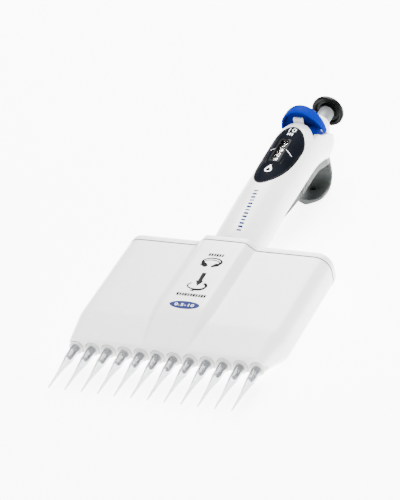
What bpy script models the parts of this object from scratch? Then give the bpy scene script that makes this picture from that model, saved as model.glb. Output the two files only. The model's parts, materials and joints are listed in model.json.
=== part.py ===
"""Twelve-channel air-displacement pipette, lying on its back on a bench.

Everything is laid out in the pipette's own frame, in millimetres: x runs across the manifold, y runs
up the plunger's axis from the manifold's underside, and z points out of the front. One empty,
"pipette_frame", carries that frame. It is tilted so that the manifold's back edge and the finger rest
both touch the bench at world z = 0.
"""

import math

import bmesh
import bpy
import numpy as np

MM = 0.001
GAP = 0.3
SHARP = math.radians(35)
COIL_STEPS = 9
CORNER_STEPS = 4

# Channels: twelve on the pitch of a microplate
CHANNELS = 12
PITCH = 9.0

# Manifold casing
CASE_HALF = 57.0
MOUTH_HALF = 53.0
MOUTH_FRONT = 6.0
MOUTH_BACK = -3.0
MOUTH_RADIUS = 4.0
MOUTH_HOLE_RADIUS = 4.1
CASE_FRONT = 8.5
CASE_BACK = -12.0
CASE_WAIST_Y = 20.0
CASE_TOP_Y = 80.7
CASE_RADIUS = 8.0
WALL = 1.8
FLOOR = 2.2
SPINE_FRONT = 13.0
SPINE_HALF = 11.7
SPINE_FOOT_HALF = 16.6
SPINE_RAMP_Y = 27.0
SPINE_MOUTH_STEP = 0.2
SPINE_MOUTH_FLANK = 0.6

# Lid of the casing, with the spigot that the handle turns on
CAP_BOTTOM_Y = 81.0
CAP_TOP_Y = 85.5
CAP_PLATE = 2.1
CAP_EDGE = 0.8
CAP_BORE = 4.2
SPIGOT_RADIUS = 7.5
SPIGOT_TOP_Y = 91.8
FLANGE_RADIUS = 9.2
FLANGE_LOW_Y = 90.3
COUPLING_RADII = (7.8, 10.4)
COUPLING_Y = (86.6, 90.0)

# Handle: stations up the axis as (y, half width, half depth, centre z)
HANDLE_STATIONS = (
    (86.0, 12.2, 12.4, 0.0),
    (92.0, 12.9, 13.2, 0.4),
    (110.0, 13.2, 13.7, 1.3),
    (121.0, 13.2, 13.5, 2.2),
    (130.0, 12.9, 13.1, 3.0),
    (147.0, 12.9, 13.4, 3.1),
    (165.0, 12.9, 13.9, 3.4),
    (178.0, 13.0, 14.4, 3.2),
    (193.0, 12.6, 15.3, -1.0),
    (199.0, 11.7, 14.6, -1.4),
)
HANDLE_SIDES = 28
BROW_Y = 183.5
OPENING_SIDE = (
    (176.4, 11.0),
    (BROW_Y, 15.5),
    (BROW_Y, 40.0),
    (230.0, 40.0),
    (230.0, 0.0),
    (199.5, 0.0),
    (196.5, 2.5),
    (190.0, 5.8),
    (185.4, 8.5),
    (183.9, 10.2),
)

# Display plate, an egg that is wider towards the plunger
PLATE_BOTTOM_Y = 128.5
PLATE_TOP_Y = 178.5
PLATE_WIDEST_Y = 163.0
PLATE_HALF = 10.0
PLATE_DEPTH = 0.8
SLOT_HALF = 2.7
SLOT_Y = (148.2, 166.9)

# Volume counter: the lowest wheel is geared to the dial
WHEELS = 4
WHEEL_RADIUS = 4.9
WHEEL_WIDTH = 4.1
WHEEL_PITCH = 4.4
WHEEL_FIRST_Y = 148.9
SHAFT_Z = 10.45
SHAFT_RADIUS = 1.0
WHEEL_BORE = 1.3
MODULE = 0.475
DIAL_TEETH = 33
PINION_TEETH = 11
GEAR_Y = (145.3, 148.3)
PINION_Y = 145.0
TOOTH_HEIGHTS = (-0.6, 0.35, 0.35, -0.6)
TOOTH_EDGES = (-0.40, -0.12, 0.12, 0.40)

# Bracket of the counter
BRACKET_HALF = 7.7
BRACKET_RAIL = 1.3

# Plunger and its spring
ROD_RADIUS = 2.2
ROD_Y = (64.6, 169.7)
STEM_RADIUS = 4.1
STEM_Y = (170.0, 219.0)
BUTTON_RADIUS = 9.1
BUTTON_Y = (219.3, 222.4)
SLEEVE_RADII = (4.4, 5.2)
SLEEVE_TOP_Y = 199.2
COLLAR_RADIUS = 4.0
COLLAR_Y = (128.0, 130.0)
STOP_RADIUS = 7.2
STOP_Y = (104.0, 107.7)

# Tip ejector
EJECTOR_TRAVEL = 5.0
VISOR_Y = (184.2, 192.4)
VISOR_PLATE_Y = 190.8
VISOR_HALF = 12.9
VISOR_CENTRE_Z = 6.0
VISOR_FRONT_Z = 23.6
VISOR_END_Z = 8.6
VISOR_WALL = 1.0
VISOR_RISE = 4.5
SKIRT_BOTTOM_Y = 174.8
SIDE_BAR_X = (8.9, 9.9)
SIDE_BAR_Z = (-1.0, 4.0)
CARRIER_Y = (100.4, 103.4)
TUBE_RADII = (2.7, 3.7)
TUBE_BOTTOM_Y = 77.8
YOKE_Y = (74.5, 77.5)
YOKE_ROD_X = 27.0
YOKE_ROD_Z = -8.0
YOKE_ROD_RADIUS = 1.1
YOKE_BACK = -9.4
EJECTOR_PLATE_Y = (25.0, 28.0)
EJECTOR_PLATE_Z = (-5.0, 4.2)
PUSHER_RADII = (2.25, 3.3, 3.8)
LOCK_TRAVEL = 1.5
LOCK_HALF = 2.6
LOCK_BACK = 12.7

# Pistons, cylinders and tips
RACK_Y = (60.0, 64.0)
PISTON_RADIUS = 1.0
PISTON_END_Y = 36.0
BLOCK_HALF = 53.5
BLOCK_Y = (32.0, 44.0)
BLOCK_Z = (-6.0, 4.0)
RACK_HALF = 52.5
RACK_DEPTH = 4.0
GUIDE_X = 36.0
GUIDE_RADIUS = 1.8
GUIDE_TOP_Y = 83.1
SCREW_HEAD_RADIUS = 2.6
SCREW_SHANK_RADIUS = 1.0
SCREW_SEAT_DEPTH = 1.6
TIP_END_Y = -32.4
TIP_TOP_Y = -0.9

# Finger rest: a strip down the handle's back and a hook that also hangs the pipette on a stand
HOOK_HALF = 8.0
HOOK_THICKNESS = 3.0
HOOK_CROWN = 1.1
HOOK_CENTRE = (188.2, -21.2)
HOOK_RADIUS = 8.8
HOOK_STEPS = 8
HOOK_END_Y = 174.5
SEAT_PAD_Z = (-20.9, -18.9)
SEAT_PAD_STEP = 0.4
EYELET_Y = 187.0
EYELET_RADIUS = 1.9
STRIP_Y = (128.0, 197.5)
STRIP_HALF = 10.6
STRIP_THICKNESS = 2.2
REST_SCREW_Y = 140.0
REST_SCREW_RADIUS = 1.3


def bench_tilt():
    """Angle at which the casing's back edge and the hook's flat end lie in one plane."""
    y, z = HOOK_CENTRE
    rise = CASE_BACK - z
    run = y - CASE_WAIST_Y
    reach = HOOK_RADIUS + HOOK_THICKNESS / 2
    return math.atan2(rise, run) + math.asin(reach / math.hypot(rise, run))


TILT = bench_tilt()
LIFT = -CASE_WAIST_Y * math.sin(TILT) - CASE_BACK * math.cos(TILT)
Y_LOW = TIP_END_Y * math.cos(TILT)
Y_HIGH = BUTTON_Y[1] * math.cos(TILT) + BUTTON_RADIUS * math.sin(TILT)

for old in list(bpy.data.objects):
    bpy.data.objects.remove(old, do_unlink=True)

frame = bpy.data.objects.new("pipette_frame", None)
bpy.context.scene.collection.objects.link(frame)
frame.rotation_euler = (TILT, 0, 0)
frame.location = (0, -(Y_LOW + Y_HIGH) / 2 * MM, LIFT * MM)


def material(name, colour, roughness, metallic=0.0, alpha=1.0):
    mat = bpy.data.materials.new(name)
    mat.use_nodes = True
    shader = mat.node_tree.nodes["Principled BSDF"]
    shader.inputs["Base Color"].default_value = (*colour, 1)
    shader.inputs["Roughness"].default_value = roughness
    shader.inputs["Metallic"].default_value = metallic
    shader.inputs["Alpha"].default_value = alpha
    return mat


WHITE = material("white_plastic", (0.80, 0.80, 0.79), 0.28)
GREY = material("grey_plastic", (0.27, 0.30, 0.29), 0.5)
DARK = material("dark_plastic", (0.10, 0.115, 0.105), 0.45)
STEM = material("stem_plastic", (0.45, 0.47, 0.48), 0.4)
BLUE = material("blue_plastic", (0.02, 0.12, 0.62), 0.35)
NAVY = material("navy_label", (0.012, 0.015, 0.03), 0.3)
LENS = material("clear_window", (0.9, 0.92, 0.95), 0.05, alpha=0.3)
TIP = material("clear_tip", (0.85, 0.87, 0.88), 0.15, alpha=0.45)
WHEEL = material("counter_wheel", (0.02, 0.02, 0.022), 0.4)
CONE = material("cone_plastic", (0.62, 0.64, 0.64), 0.4)
STEEL = material("steel", (0.6, 0.61, 0.62), 0.25, metallic=1.0)


def solid(name, bm, mat, origin=(0, 0, 0)):
    """A named object from a bmesh in millimetres about its origin in the pipette's frame."""
    bmesh.ops.remove_doubles(bm, verts=bm.verts, dist=1e-5)
    bmesh.ops.recalc_face_normals(bm, faces=bm.faces)
    bmesh.ops.scale(bm, vec=(MM, MM, MM), verts=bm.verts)
    mesh = bpy.data.meshes.new(name)
    bm.to_mesh(mesh)
    bm.free()
    mesh.materials.append(mat)
    mesh.shade_smooth()
    mesh.set_sharp_from_angle(angle=SHARP)
    obj = bpy.data.objects.new(name, mesh)
    bpy.context.scene.collection.objects.link(obj)
    obj.parent = frame
    obj.location = [c * MM for c in origin]
    return obj


def combine(obj, other, operation):
    """Boolean with a second solid, applied at once. The second solid is used up."""
    modifier = obj.modifiers.new(operation.lower(), "BOOLEAN")
    modifier.operation = operation
    modifier.solver = "EXACT"
    modifier.object = other
    graph = bpy.context.evaluated_depsgraph_get()
    result = bpy.data.meshes.new_from_object(obj.evaluated_get(graph))
    obj.modifiers.clear()
    obj.data = result
    bpy.data.objects.remove(other, do_unlink=True)
    result.set_sharp_from_angle(angle=SHARP)
    return obj


def cut(obj, other):
    return combine(obj, other, "DIFFERENCE")


def add(obj, other):
    return combine(obj, other, "UNION")


def keep(obj, other):
    return combine(obj, other, "INTERSECT")


def skin(bm, rings, closed=False):
    """Quads between rings of equal length, with a flat cap at each end unless the rings close up."""
    rows = [[bm.verts.new(p) for p in ring] for ring in rings]
    count = len(rows[0])
    pairs = list(zip(rows, rows[1:]))
    if closed:
        pairs.append((rows[-1], rows[0]))
    for low, high in pairs:
        for i in range(count):
            j = (i + 1) % count
            bm.faces.new((low[i], low[j], high[j], high[i]))
    if not closed:
        bm.faces.new(rows[0])
        bm.faces.new(rows[-1])


def loft(name, rings, mat, origin=(0, 0, 0)):
    bm = bmesh.new()
    skin(bm, rings)
    return solid(name, bm, mat, origin)


def circle(radius, y, sides, x=0.0, z=0.0):
    turn = [2 * math.pi * (i + 0.5) / sides for i in range(sides)]
    return [(x + radius * math.cos(a), y, z + radius * math.sin(a)) for a in turn]


def turned(name, profile, mat, sides, centres=((0, 0),), origin=(0, 0, 0)):
    """One closed outline of (radius, y) turned about an axis along y, at each (x, z) centre."""
    bm = bmesh.new()
    for x, z in centres:
        skin(bm, [circle(r, y, sides, x, z) for r, y in profile], closed=True)
    return solid(name, bm, mat, origin)


def spindle(name, profile, mat, sides):
    """A solid turned about the axis, from rings of (radius, y) with a flat at each end."""
    return loft(name, [circle(r, y, sides) for r, y in profile], mat)


def rod(name, radius, y_low, y_high, mat, sides=16, centres=((0, 0),), origin=(0, 0, 0)):
    bm = bmesh.new()
    for x, z in centres:
        skin(bm, [circle(radius, y, sides, x, z) for y in (y_low, y_high)])
    return solid(name, bm, mat, origin)


def tube(name, radii, y_low, y_high, mat, sides=20, origin=(0, 0, 0)):
    inner, outer = radii
    outline = ((inner, y_low), (outer, y_low), (outer, y_high), (inner, y_high))
    return turned(name, outline, mat, sides, origin=origin)


def block(name, x, y, z, mat):
    ring = [(x[0], z[0]), (x[1], z[0]), (x[1], z[1]), (x[0], z[1])]
    return loft(name, [[(a, level, b) for a, b in ring] for level in y], mat)


def prism(name, outline, low, high, mat, axis="z"):
    """An outline extruded along x, where its points are (y, z), or along z, where they are (x, y)."""
    if axis == "x":
        rings = [[(level, a, b) for a, b in outline] for level in (low, high)]
    else:
        rings = [[(a, b, level) for a, b in outline] for level in (low, high)]
    return loft(name, rings, mat)


def coil(name, radius, wire, y_low, y_high, turns, mat, x=0.0):
    """A compression spring about an axis along y."""
    steps = COIL_STEPS * turns
    rise = y_high - y_low - 2 * wire
    rings = []
    for i in range(steps + 1):
        a = 2 * math.pi * turns * i / steps
        y = y_low + wire + rise * i / steps
        ring = []
        for k in range(4):
            b = math.pi / 2 * k
            r = radius + wire * math.cos(b)
            ring.append((x + r * math.cos(a), y + wire * math.sin(b), r * math.sin(a)))
        rings.append(ring)
    return loft(name, rings, mat)


def gear(name, teeth, y_low, y_high, mat, phase, origin=(0, 0, 0)):
    """Straight-flanked spur gear with running backlash, on the pitch circle of the shared module."""
    pitch_radius = MODULE * teeth / 2
    outline = []
    for tooth in range(teeth):
        middle = phase + 2 * math.pi * tooth / teeth
        for height, edge in zip(TOOTH_HEIGHTS, TOOTH_EDGES):
            a = middle + edge / pitch_radius
            radius = pitch_radius + height
            outline.append((radius * math.cos(a), radius * math.sin(a)))
    rings = [[(x, level, z) for x, z in outline] for level in (y_low, y_high)]
    return loft(name, rings, mat, origin)


def channel_xs():
    return [(i - (CHANNELS - 1) / 2) * PITCH for i in range(CHANNELS)]


# ---------------------------------------------------------------- manifold


def case_ring(y, half, front, back, radius, spine_front, spine_half, foot_half, inset=0.0):
    """Rounded slab section with the raised spine down its front."""
    half -= inset
    front -= inset
    back += inset
    spine_front -= inset
    radius = max(radius - inset, 1.0)
    corners = ((half, front, 0), (-half, front, 90), (-half, back, 180), (half, back, 270))
    ring = []
    for n, (cx, cz, start) in enumerate(corners):
        sx = math.copysign(1, cx)
        sz = 1 if n < 2 else -1
        for k in range(CORNER_STEPS + 1):
            a = math.radians(start + 90 * k / CORNER_STEPS)
            ring.append((cx - sx * radius + radius * math.cos(a), y, cz - sz * radius + radius * math.sin(a)))
        if n == 0:
            ring.append((foot_half, y, front))
            ring.append((spine_half, y, spine_front))
            ring.append((-spine_half, y, spine_front))
            ring.append((-foot_half, y, front))
    return ring


def case_rings(inset=0.0, y_low=0.0, y_high=CASE_TOP_Y):
    mouth = dict(half=MOUTH_HALF, front=MOUTH_FRONT, back=MOUTH_BACK, radius=MOUTH_RADIUS)
    full = dict(half=CASE_HALF, front=CASE_FRONT, back=CASE_BACK, radius=CASE_RADIUS)
    first_front = SPINE_MOUTH_STEP
    last_front = SPINE_FRONT - CASE_FRONT
    first_foot = SPINE_HALF + SPINE_MOUTH_FLANK
    rings = []
    for y in (y_low, 0.4 * CASE_WAIST_Y, CASE_WAIST_Y, SPINE_RAMP_Y, y_high):
        s = min(y / CASE_WAIST_Y, 1.0)
        ramp = min(y / SPINE_RAMP_Y, 1.0)
        values = {key: mouth[key] + s * (full[key] - mouth[key]) for key in full}
        values["spine_front"] = values["front"] + first_front + ramp * (last_front - first_front)
        values["foot_half"] = first_foot + ramp * (SPINE_FOOT_HALF - first_foot)
        rings.append(case_ring(y, spine_half=SPINE_HALF, inset=inset, **values))
    return rings


def top_ring(y, inset=0.0):
    return case_ring(
        y, CASE_HALF, CASE_FRONT, CASE_BACK, CASE_RADIUS, SPINE_FRONT, SPINE_HALF, SPINE_FOOT_HALF, inset
    )


def manifold_casing():
    case = loft("manifold_casing", case_rings(), WHITE)
    cut(case, loft("hollow", case_rings(WALL, FLOOR, CASE_TOP_Y + 1), WHITE))
    holes = [(x, 0) for x in channel_xs()]
    return cut(case, rod("holes", MOUTH_HOLE_RADIUS, -6.0, 14.0, WHITE, 12, holes))


def manifold_cap():
    """Lid of the casing, with the hollow spigot that turns in the handle's collar."""
    cap = loft(
        "manifold_cap",
        [top_ring(CAP_BOTTOM_Y), top_ring(CAP_TOP_Y - CAP_EDGE), top_ring(CAP_TOP_Y, CAP_EDGE)],
        WHITE,
    )
    cut(cap, loft("hollow", [top_ring(CAP_BOTTOM_Y - 1, WALL), top_ring(CAP_TOP_Y - CAP_PLATE, WALL)], WHITE))
    add(cap, rod("spigot", SPIGOT_RADIUS, CAP_TOP_Y - 1, SPIGOT_TOP_Y, WHITE, 24))
    add(cap, rod("flange", FLANGE_RADIUS, FLANGE_LOW_Y, SPIGOT_TOP_Y, WHITE, 24))
    cut(cap, rod("bore", CAP_BORE, CAP_BOTTOM_Y - 1, SPIGOT_TOP_Y + 1, WHITE, 20))
    seats = [(-GUIDE_X, 0), (GUIDE_X, 0)]
    cut(cap, rod("shank_holes", SCREW_SHANK_RADIUS + 0.5, CAP_BOTTOM_Y, 90.0, WHITE, 12, seats))
    seat_y = CAP_TOP_Y - SCREW_SEAT_DEPTH
    return cut(cap, rod("head_seats", SCREW_HEAD_RADIUS + GAP, seat_y, 90.0, WHITE, 12, seats))


def cone_block():
    bar = block("cone_block", (-BLOCK_HALF, BLOCK_HALF), BLOCK_Y, BLOCK_Z, CONE)
    holes = [(x, 0) for x in channel_xs()]
    low, high = BLOCK_Y
    return cut(bar, rod("bores", PISTON_RADIUS + GAP, low - 2, high + 2, CONE, 10, holes))


def nose_cones():
    """Barrels that the pistons work in. Each ends in the taper that a tip is pushed onto."""
    barrel = (
        (0.5, -8.0),
        (1.75, -8.0),
        (2.0, 1.6),
        (3.0, 2.6),
        (3.0, 29.0),
        (4.0, 29.0),
        (4.0, BLOCK_Y[0] - GAP),
        (PISTON_RADIUS + GAP, BLOCK_Y[0] - GAP),
        (PISTON_RADIUS + GAP, 16.0),
        (0.5, 15.0),
    )
    for number, x in enumerate(channel_xs(), 1):
        turned(f"nose_cone_{number:02d}", barrel, CONE, 8, origin=(x, 0, 0))


def tips():
    profile = (
        (0.22, TIP_END_Y),
        (0.42, TIP_END_Y),
        (1.05, -20.0),
        (1.95, -11.3),
        (2.3, -9.8),
        (2.45, TIP_TOP_Y),
        (2.2, TIP_TOP_Y),
        (1.95, -9.2),
        (0.7, -19.5),
    )
    for number, x in enumerate(channel_xs(), 1):
        turned(f"tip_{number:02d}", profile, TIP, 10, origin=(x, 0, 0))


def guide_rods():
    for side, x in (("left", -GUIDE_X), ("right", GUIDE_X)):
        guide = rod(f"guide_rod_{side}", GUIDE_RADIUS, BLOCK_Y[1] + GAP, GUIDE_TOP_Y, STEEL, 12, ((x, 0),))
        cut(guide, rod("tapping", SCREW_SHANK_RADIUS + GAP, 77.0, GUIDE_TOP_Y + 1, STEEL, 10, ((x, 0),)))
        coil(f"return_spring_{side}", 2.8, 0.35, BLOCK_Y[1] + GAP, RACK_Y[0] - GAP, 5, STEEL, x)
        head_low = CAP_TOP_Y - SCREW_SEAT_DEPTH + GAP
        screw = rod(f"cap_screw_{side}", SCREW_HEAD_RADIUS, head_low, CAP_TOP_Y - 0.2, STEEL, 16, ((x, 0),))
        add(screw, rod("shank", SCREW_SHANK_RADIUS, 78.5, head_low + 0.3, STEEL, 10, ((x, 0),)))
        cut(screw, block("drive", (x - 1.8, x + 1.8), (CAP_TOP_Y - 0.8, 87.0), (-0.35, 0.35), STEEL))


def piston_rack():
    """Cross bar that the plunger rod pushes, with the twelve pistons fixed in it."""
    rack = block("piston_rack", (-RACK_HALF, RACK_HALF), RACK_Y, (-RACK_DEPTH, RACK_DEPTH), STEEL)
    guides = [(-GUIDE_X, 0), (GUIDE_X, 0)]
    cut(rack, rod("slides", GUIDE_RADIUS + GAP, RACK_Y[0] - 2, RACK_Y[1] + 2, STEEL, 12, guides))
    pistons = [(x, 0) for x in channel_xs()]
    return add(rack, rod("pistons", PISTON_RADIUS, PISTON_END_Y, RACK_Y[0] + 1, STEEL, 10, pistons))


def ejector_bar():
    """Plate that carries the twelve sleeves round the nose cones. Their lower lips push the tips off."""
    bar = block("ejector_bar", (-BLOCK_HALF, BLOCK_HALF), EJECTOR_PLATE_Y, EJECTOR_PLATE_Z, CONE)
    for x in (-YOKE_ROD_X, YOKE_ROD_X):
        add(bar, block("tab", (x - 2.5, x + 2.5), EJECTOR_PLATE_Y, (YOKE_BACK, -4.0), CONE))
    places = [(x, 0) for x in channel_xs()]
    lip, bore, outside = PUSHER_RADII
    low, high = EJECTOR_PLATE_Y
    cut(bar, rod("holes", (bore + outside) / 2, low - 5, high + 4, CONE, 10, places))
    bottom = TIP_TOP_Y + GAP
    sleeve = (
        (lip, bottom),
        (outside, bottom),
        (outside, low + 0.5),
        (bore, low + 0.5),
        (bore, 1.3),
        (lip, 1.3),
    )
    return add(bar, turned("sleeves", sleeve, CONE, 10, places))


def ejector_yoke():
    """Bridge that the ejector tube pushes on, with two rods down to the ejector bar."""
    low, high = YOKE_Y
    yoke = block("ejector_yoke", (-YOKE_ROD_X - 3, YOKE_ROD_X + 3), YOKE_Y, (YOKE_BACK, 4.0), CONE)
    cut(yoke, rod("bore", TUBE_RADII[0], low - 1, high + 1, CONE, 20))
    rods = [(-YOKE_ROD_X, YOKE_ROD_Z), (YOKE_ROD_X, YOKE_ROD_Z)]
    return add(yoke, rod("rods", YOKE_ROD_RADIUS, EJECTOR_PLATE_Y[1] + GAP, low + 1, CONE, 10, rods))


# ---------------------------------------------------------------- handle


def handle_ring(y, grow=0.0, shift=0.0):
    """Oval section of the handle, grown or shrunk by one distance all round, and moved along the axis."""
    levels, half_x, half_z, centre = zip(*HANDLE_STATIONS)
    rx = float(np.interp(y, levels, half_x)) + grow
    rz = float(np.interp(y, levels, half_z)) + grow
    cz = float(np.interp(y, levels, centre))
    turn = [2 * math.pi * (i + 0.5) / HANDLE_SIDES for i in range(HANDLE_SIDES)]
    return [(rx * math.cos(a), y + shift, cz + rz * math.sin(a)) for a in turn]


def handle_body(name, mat, grow=0.0, y_low=86.0, y_high=199.0, shift=0.0):
    between = [s[0] for s in HANDLE_STATIONS if y_low < s[0] < y_high]
    return loft(name, [handle_ring(y, grow, shift) for y in (y_low, *between, y_high)], mat)


def egg_outline(margin=0.0):
    """The display plate's outline seen from the front, as (x, y) points."""
    right = []
    steps = 12
    for i in range(steps + 1):
        s = math.cos(math.pi * i / steps)
        if s >= 0:
            y = PLATE_WIDEST_Y + s * (PLATE_TOP_Y + margin - PLATE_WIDEST_Y)
            half = (PLATE_HALF + margin) * math.sqrt(max(1 - s * s, 0))
        else:
            y = PLATE_WIDEST_Y + s * (PLATE_WIDEST_Y - PLATE_BOTTOM_Y + margin)
            half = (PLATE_HALF + margin) * (1 - abs(s) ** 2.4) ** 0.55
        right.append((half, y))
    return right + [(-x, y) for x, y in reversed(right[1:-1])]


def slot_outline(margin=0.0):
    low, high = SLOT_Y
    half = SLOT_HALF + margin
    return [(-half, low - margin), (half, low - margin), (half, high + margin), (-half, high + margin)]


def handle_shell():
    shell = handle_body("handle_shell", WHITE)
    cut(shell, handle_body("hollow", WHITE, -WALL, 85.0, 200.0))
    cut(shell, prism("opening", OPENING_SIDE, -30.0, 30.0, WHITE, "x"))
    recess = prism("recess", egg_outline(GAP), 5.0, 30.0, WHITE)
    cut(recess, handle_body("recess_floor", WHITE, -PLATE_DEPTH - GAP, 100.0, 190.0))
    cut(shell, recess)
    return cut(shell, prism("window", slot_outline(0.6), 8.0, 30.0, WHITE))


def display():
    plate = prism("display_plate", egg_outline(), 5.0, 30.0, NAVY)
    keep(plate, handle_body("face", NAVY, 0.0, 100.0, 190.0))
    cut(plate, handle_body("back", NAVY, -PLATE_DEPTH, 99.0, 191.0))
    cut(plate, prism("slot", slot_outline(), 8.0, 30.0, NAVY))
    lens = prism("display_lens", slot_outline(-GAP), 8.0, 30.0, LENS)
    keep(lens, handle_body("face", LENS, -0.1, 100.0, 190.0))
    cut(lens, handle_body("back", LENS, -PLATE_DEPTH, 99.0, 191.0))


def hook_section(centre, direction, half):
    """Cross-section of the hook, square to its centre line: flat inside and crowned outside."""
    y, z = centre
    out_y, out_z = -direction[1], direction[0]
    ring = []
    for x in (-1.0, -0.6, 0.0, 0.6, 1.0):
        crown = HOOK_THICKNESS / 2 - HOOK_CROWN * x * x
        ring.append((x * half, y + crown * out_y, z + crown * out_z))
    for x in (1.0, -1.0):
        ring.append((x * half, y - HOOK_THICKNESS / 2 * out_y, z - HOOK_THICKNESS / 2 * out_z))
    return ring


def hook():
    """Band from inside the handle's back, out and round to a flat free end that points down the axis."""
    cy, cz = HOOK_CENTRE
    rings = [hook_section((cy + HOOK_RADIUS, z), (0.0, -1.0), HOOK_HALF) for z in (-10.0, cz)]
    sweep = math.pi / 2 + TILT
    for i in range(1, HOOK_STEPS + 1):
        a = -sweep * i / HOOK_STEPS
        place = (cy + HOOK_RADIUS * math.cos(a), cz + HOOK_RADIUS * math.sin(a))
        rings.append(hook_section(place, (math.sin(a), -math.cos(a)), HOOK_HALF))
    along = (-math.cos(TILT), math.sin(TILT))
    length = (place[0] - HOOK_END_Y) / math.cos(TILT)
    for s in (0.45, 0.75, 0.93, 1.0):
        point = (place[0] + s * length * along[0], place[1] + s * length * along[1])
        rings.append(hook_section(point, along, HOOK_HALF * math.sqrt(1 - 0.9 * s ** 4)))
    return loft("finger_rest", rings, GREY)


def rest_strip():
    """Liner that lies along the handle's back."""
    low, high = STRIP_Y
    strip = handle_body("strip", GREY, STRIP_THICKNESS, low - 8, high + 1.4)
    right = [(4.5, low), (7.5, low + 12), (STRIP_HALF, low + 26), (STRIP_HALF, high - 9), (HOOK_HALF, high)]
    left = [(-x, y) for x, y in reversed(right)]
    keep(strip, prism("outline", right + left, -30.0, 0.0, GREY))
    return cut(strip, handle_body("bed", GREY, GAP, low - 9, high + 2.5))


def drilling(name, radius, y, z, sides, mat):
    """Round bar along z, between two heights."""
    turn = [2 * math.pi * i / sides for i in range(sides)]
    rings = [[(radius * math.cos(a), y + radius * math.sin(a), level) for a in turn] for level in z]
    return loft(name, rings, mat)


def finger_rest():
    rest = hook()
    cut(rest, handle_body("handle_space", GREY, GAP))
    add(rest, rest_strip())
    inner_y = HOOK_CENTRE[0] + HOOK_RADIUS - HOOK_THICKNESS / 2
    pad_y = (inner_y - SEAT_PAD_STEP, inner_y + 1)
    add(rest, block("seat_pad", (1 - HOOK_HALF, HOOK_HALF - 1), pad_y, SEAT_PAD_Z, GREY))
    cut(rest, drilling("eyelet", EYELET_RADIUS, EYELET_Y, (-34.0, -26.0), 16, GREY))
    return cut(rest, drilling("screw_hole", REST_SCREW_RADIUS + GAP, REST_SCREW_Y, (-20.0, -6.0), 12, GREY))


def finger_rest_screw():
    """Screw through the strip, flush in its hole."""
    return drilling("finger_rest_screw", REST_SCREW_RADIUS, REST_SCREW_Y, (-12.2, -10.9), 12, STEEL)


def top_cap():
    """Cover over the handle's open end, rising to a cone round the plunger's stem."""
    low, high = 196.3, 198.6
    cap = handle_body("top_cap", WHITE, -WALL - GAP, low, high)
    keep(cap, block("back_part", (-15.0, 15.0), (low - 1, high + 1), (-20.0, 3.5), WHITE))
    cone = ((7.6, low), (9.4, high), (8.9, high + 1.5), (5.9, 208.0))
    add(cap, spindle("cone", cone, WHITE, 24))
    return cut(cap, rod("bore", SLEEVE_RADII[1] + GAP, low - 1, 210.0, WHITE, 24))


def coupling_ring():
    return tube("coupling_ring", COUPLING_RADII, *COUPLING_Y, GREY, 24)


def stop_ring():
    """Fixed seat of the plunger's spring, held across the handle by two ears."""
    low, high = STOP_Y
    ring = rod("stop_ring", STOP_RADIUS, low, high, CONE, 20)
    add(ring, block("ears", (-3.0, 3.0), (low, high), (-9.8, 12.2), CONE))
    return cut(ring, rod("bore", ROD_RADIUS + GAP, low - 1, high + 1, CONE, 16))


def counter_frame():
    """Bracket that carries the counter's shaft in front of the dial's sleeve."""
    width = (-BRACKET_HALF, BRACKET_HALF)
    bracket = block("counter_frame", width, (142.0, 144.4), (-7.8, 13.2), CONE)
    add(bracket, block("top_plate", width, (166.9, 169.2), (-7.8, 13.8), CONE))
    for x in (-BRACKET_HALF, BRACKET_HALF - BRACKET_RAIL):
        add(bracket, block("rail", (x, x + BRACKET_RAIL), (143.0, 168.0), (8.2, 12.4), CONE))
    keep(bracket, handle_body("handle_space", CONE, -WALL - GAP, 138.0, 173.0))
    cut(bracket, rod("rod_bore", ROD_RADIUS + GAP, 141.0, 145.0, CONE, 16))
    cut(bracket, rod("sleeve_bore", SLEEVE_RADII[1] + GAP, 166.0, 170.0, CONE, 24))
    return cut(bracket, rod("shaft_bore", SHAFT_RADIUS + GAP, 141.0, 171.0, CONE, 12, ((0, SHAFT_Z),)))


def counter():
    shaft = (0, 0, SHAFT_Z)
    rod("counter_shaft", SHAFT_RADIUS, 142.3, 168.8, STEEL, 12, origin=shaft)
    for number in range(WHEELS):
        low = WHEEL_FIRST_Y + number * WHEEL_PITCH
        name = f"counter_wheel_{number + 1}"
        wheel = rod(name, WHEEL_RADIUS, low, low + WHEEL_WIDTH, WHEEL, 20, origin=shaft)
        if number == 0:
            add(wheel, gear("pinion", PINION_TEETH, PINION_Y, low + 1, WHEEL, -math.pi / 2, shaft))
        cut(wheel, rod("bore", WHEEL_BORE, low - 6, low + 6, WHEEL, 12, origin=shaft))


def dial_sleeve():
    """Sleeve that the plunger turns with, and the gear that drives the counter."""
    sleeve = rod("dial_sleeve", SLEEVE_RADII[1], GEAR_Y[0], SLEEVE_TOP_Y, STEM, 24)
    half_tooth = math.pi / DIAL_TEETH
    add(sleeve, gear("wheel", DIAL_TEETH, *GEAR_Y, STEM, math.pi / 2 + half_tooth))
    return cut(sleeve, rod("bore", SLEEVE_RADII[0], 140.0, 210.0, STEM, 24))


def plunger():
    shaft = rod("plunger_rod", ROD_RADIUS, *ROD_Y, STEEL, 16)
    add(shaft, rod("collar", COLLAR_RADIUS, *COLLAR_Y, STEEL, 16))
    rod("plunger_stem", STEM_RADIUS, *STEM_Y, STEM, 24)
    low, high = BUTTON_Y
    profile = (
        (STEM_RADIUS + 0.4, low),
        (STEM_RADIUS + 0.7, low + 1.6),
        (BUTTON_RADIUS - 2.6, low + 1.6),
        (BUTTON_RADIUS - 1.7, low),
        (BUTTON_RADIUS - 0.5, low),
        (BUTTON_RADIUS, low + 0.4),
        (BUTTON_RADIUS, high - 0.6),
        (BUTTON_RADIUS - 0.6, high),
    )
    spindle("plunger_button", profile, DARK, 28)
    coil("main_spring", 3.2, 0.5, STOP_Y[1] + GAP, COLLAR_Y[0] - GAP, 6, STEEL)


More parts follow.
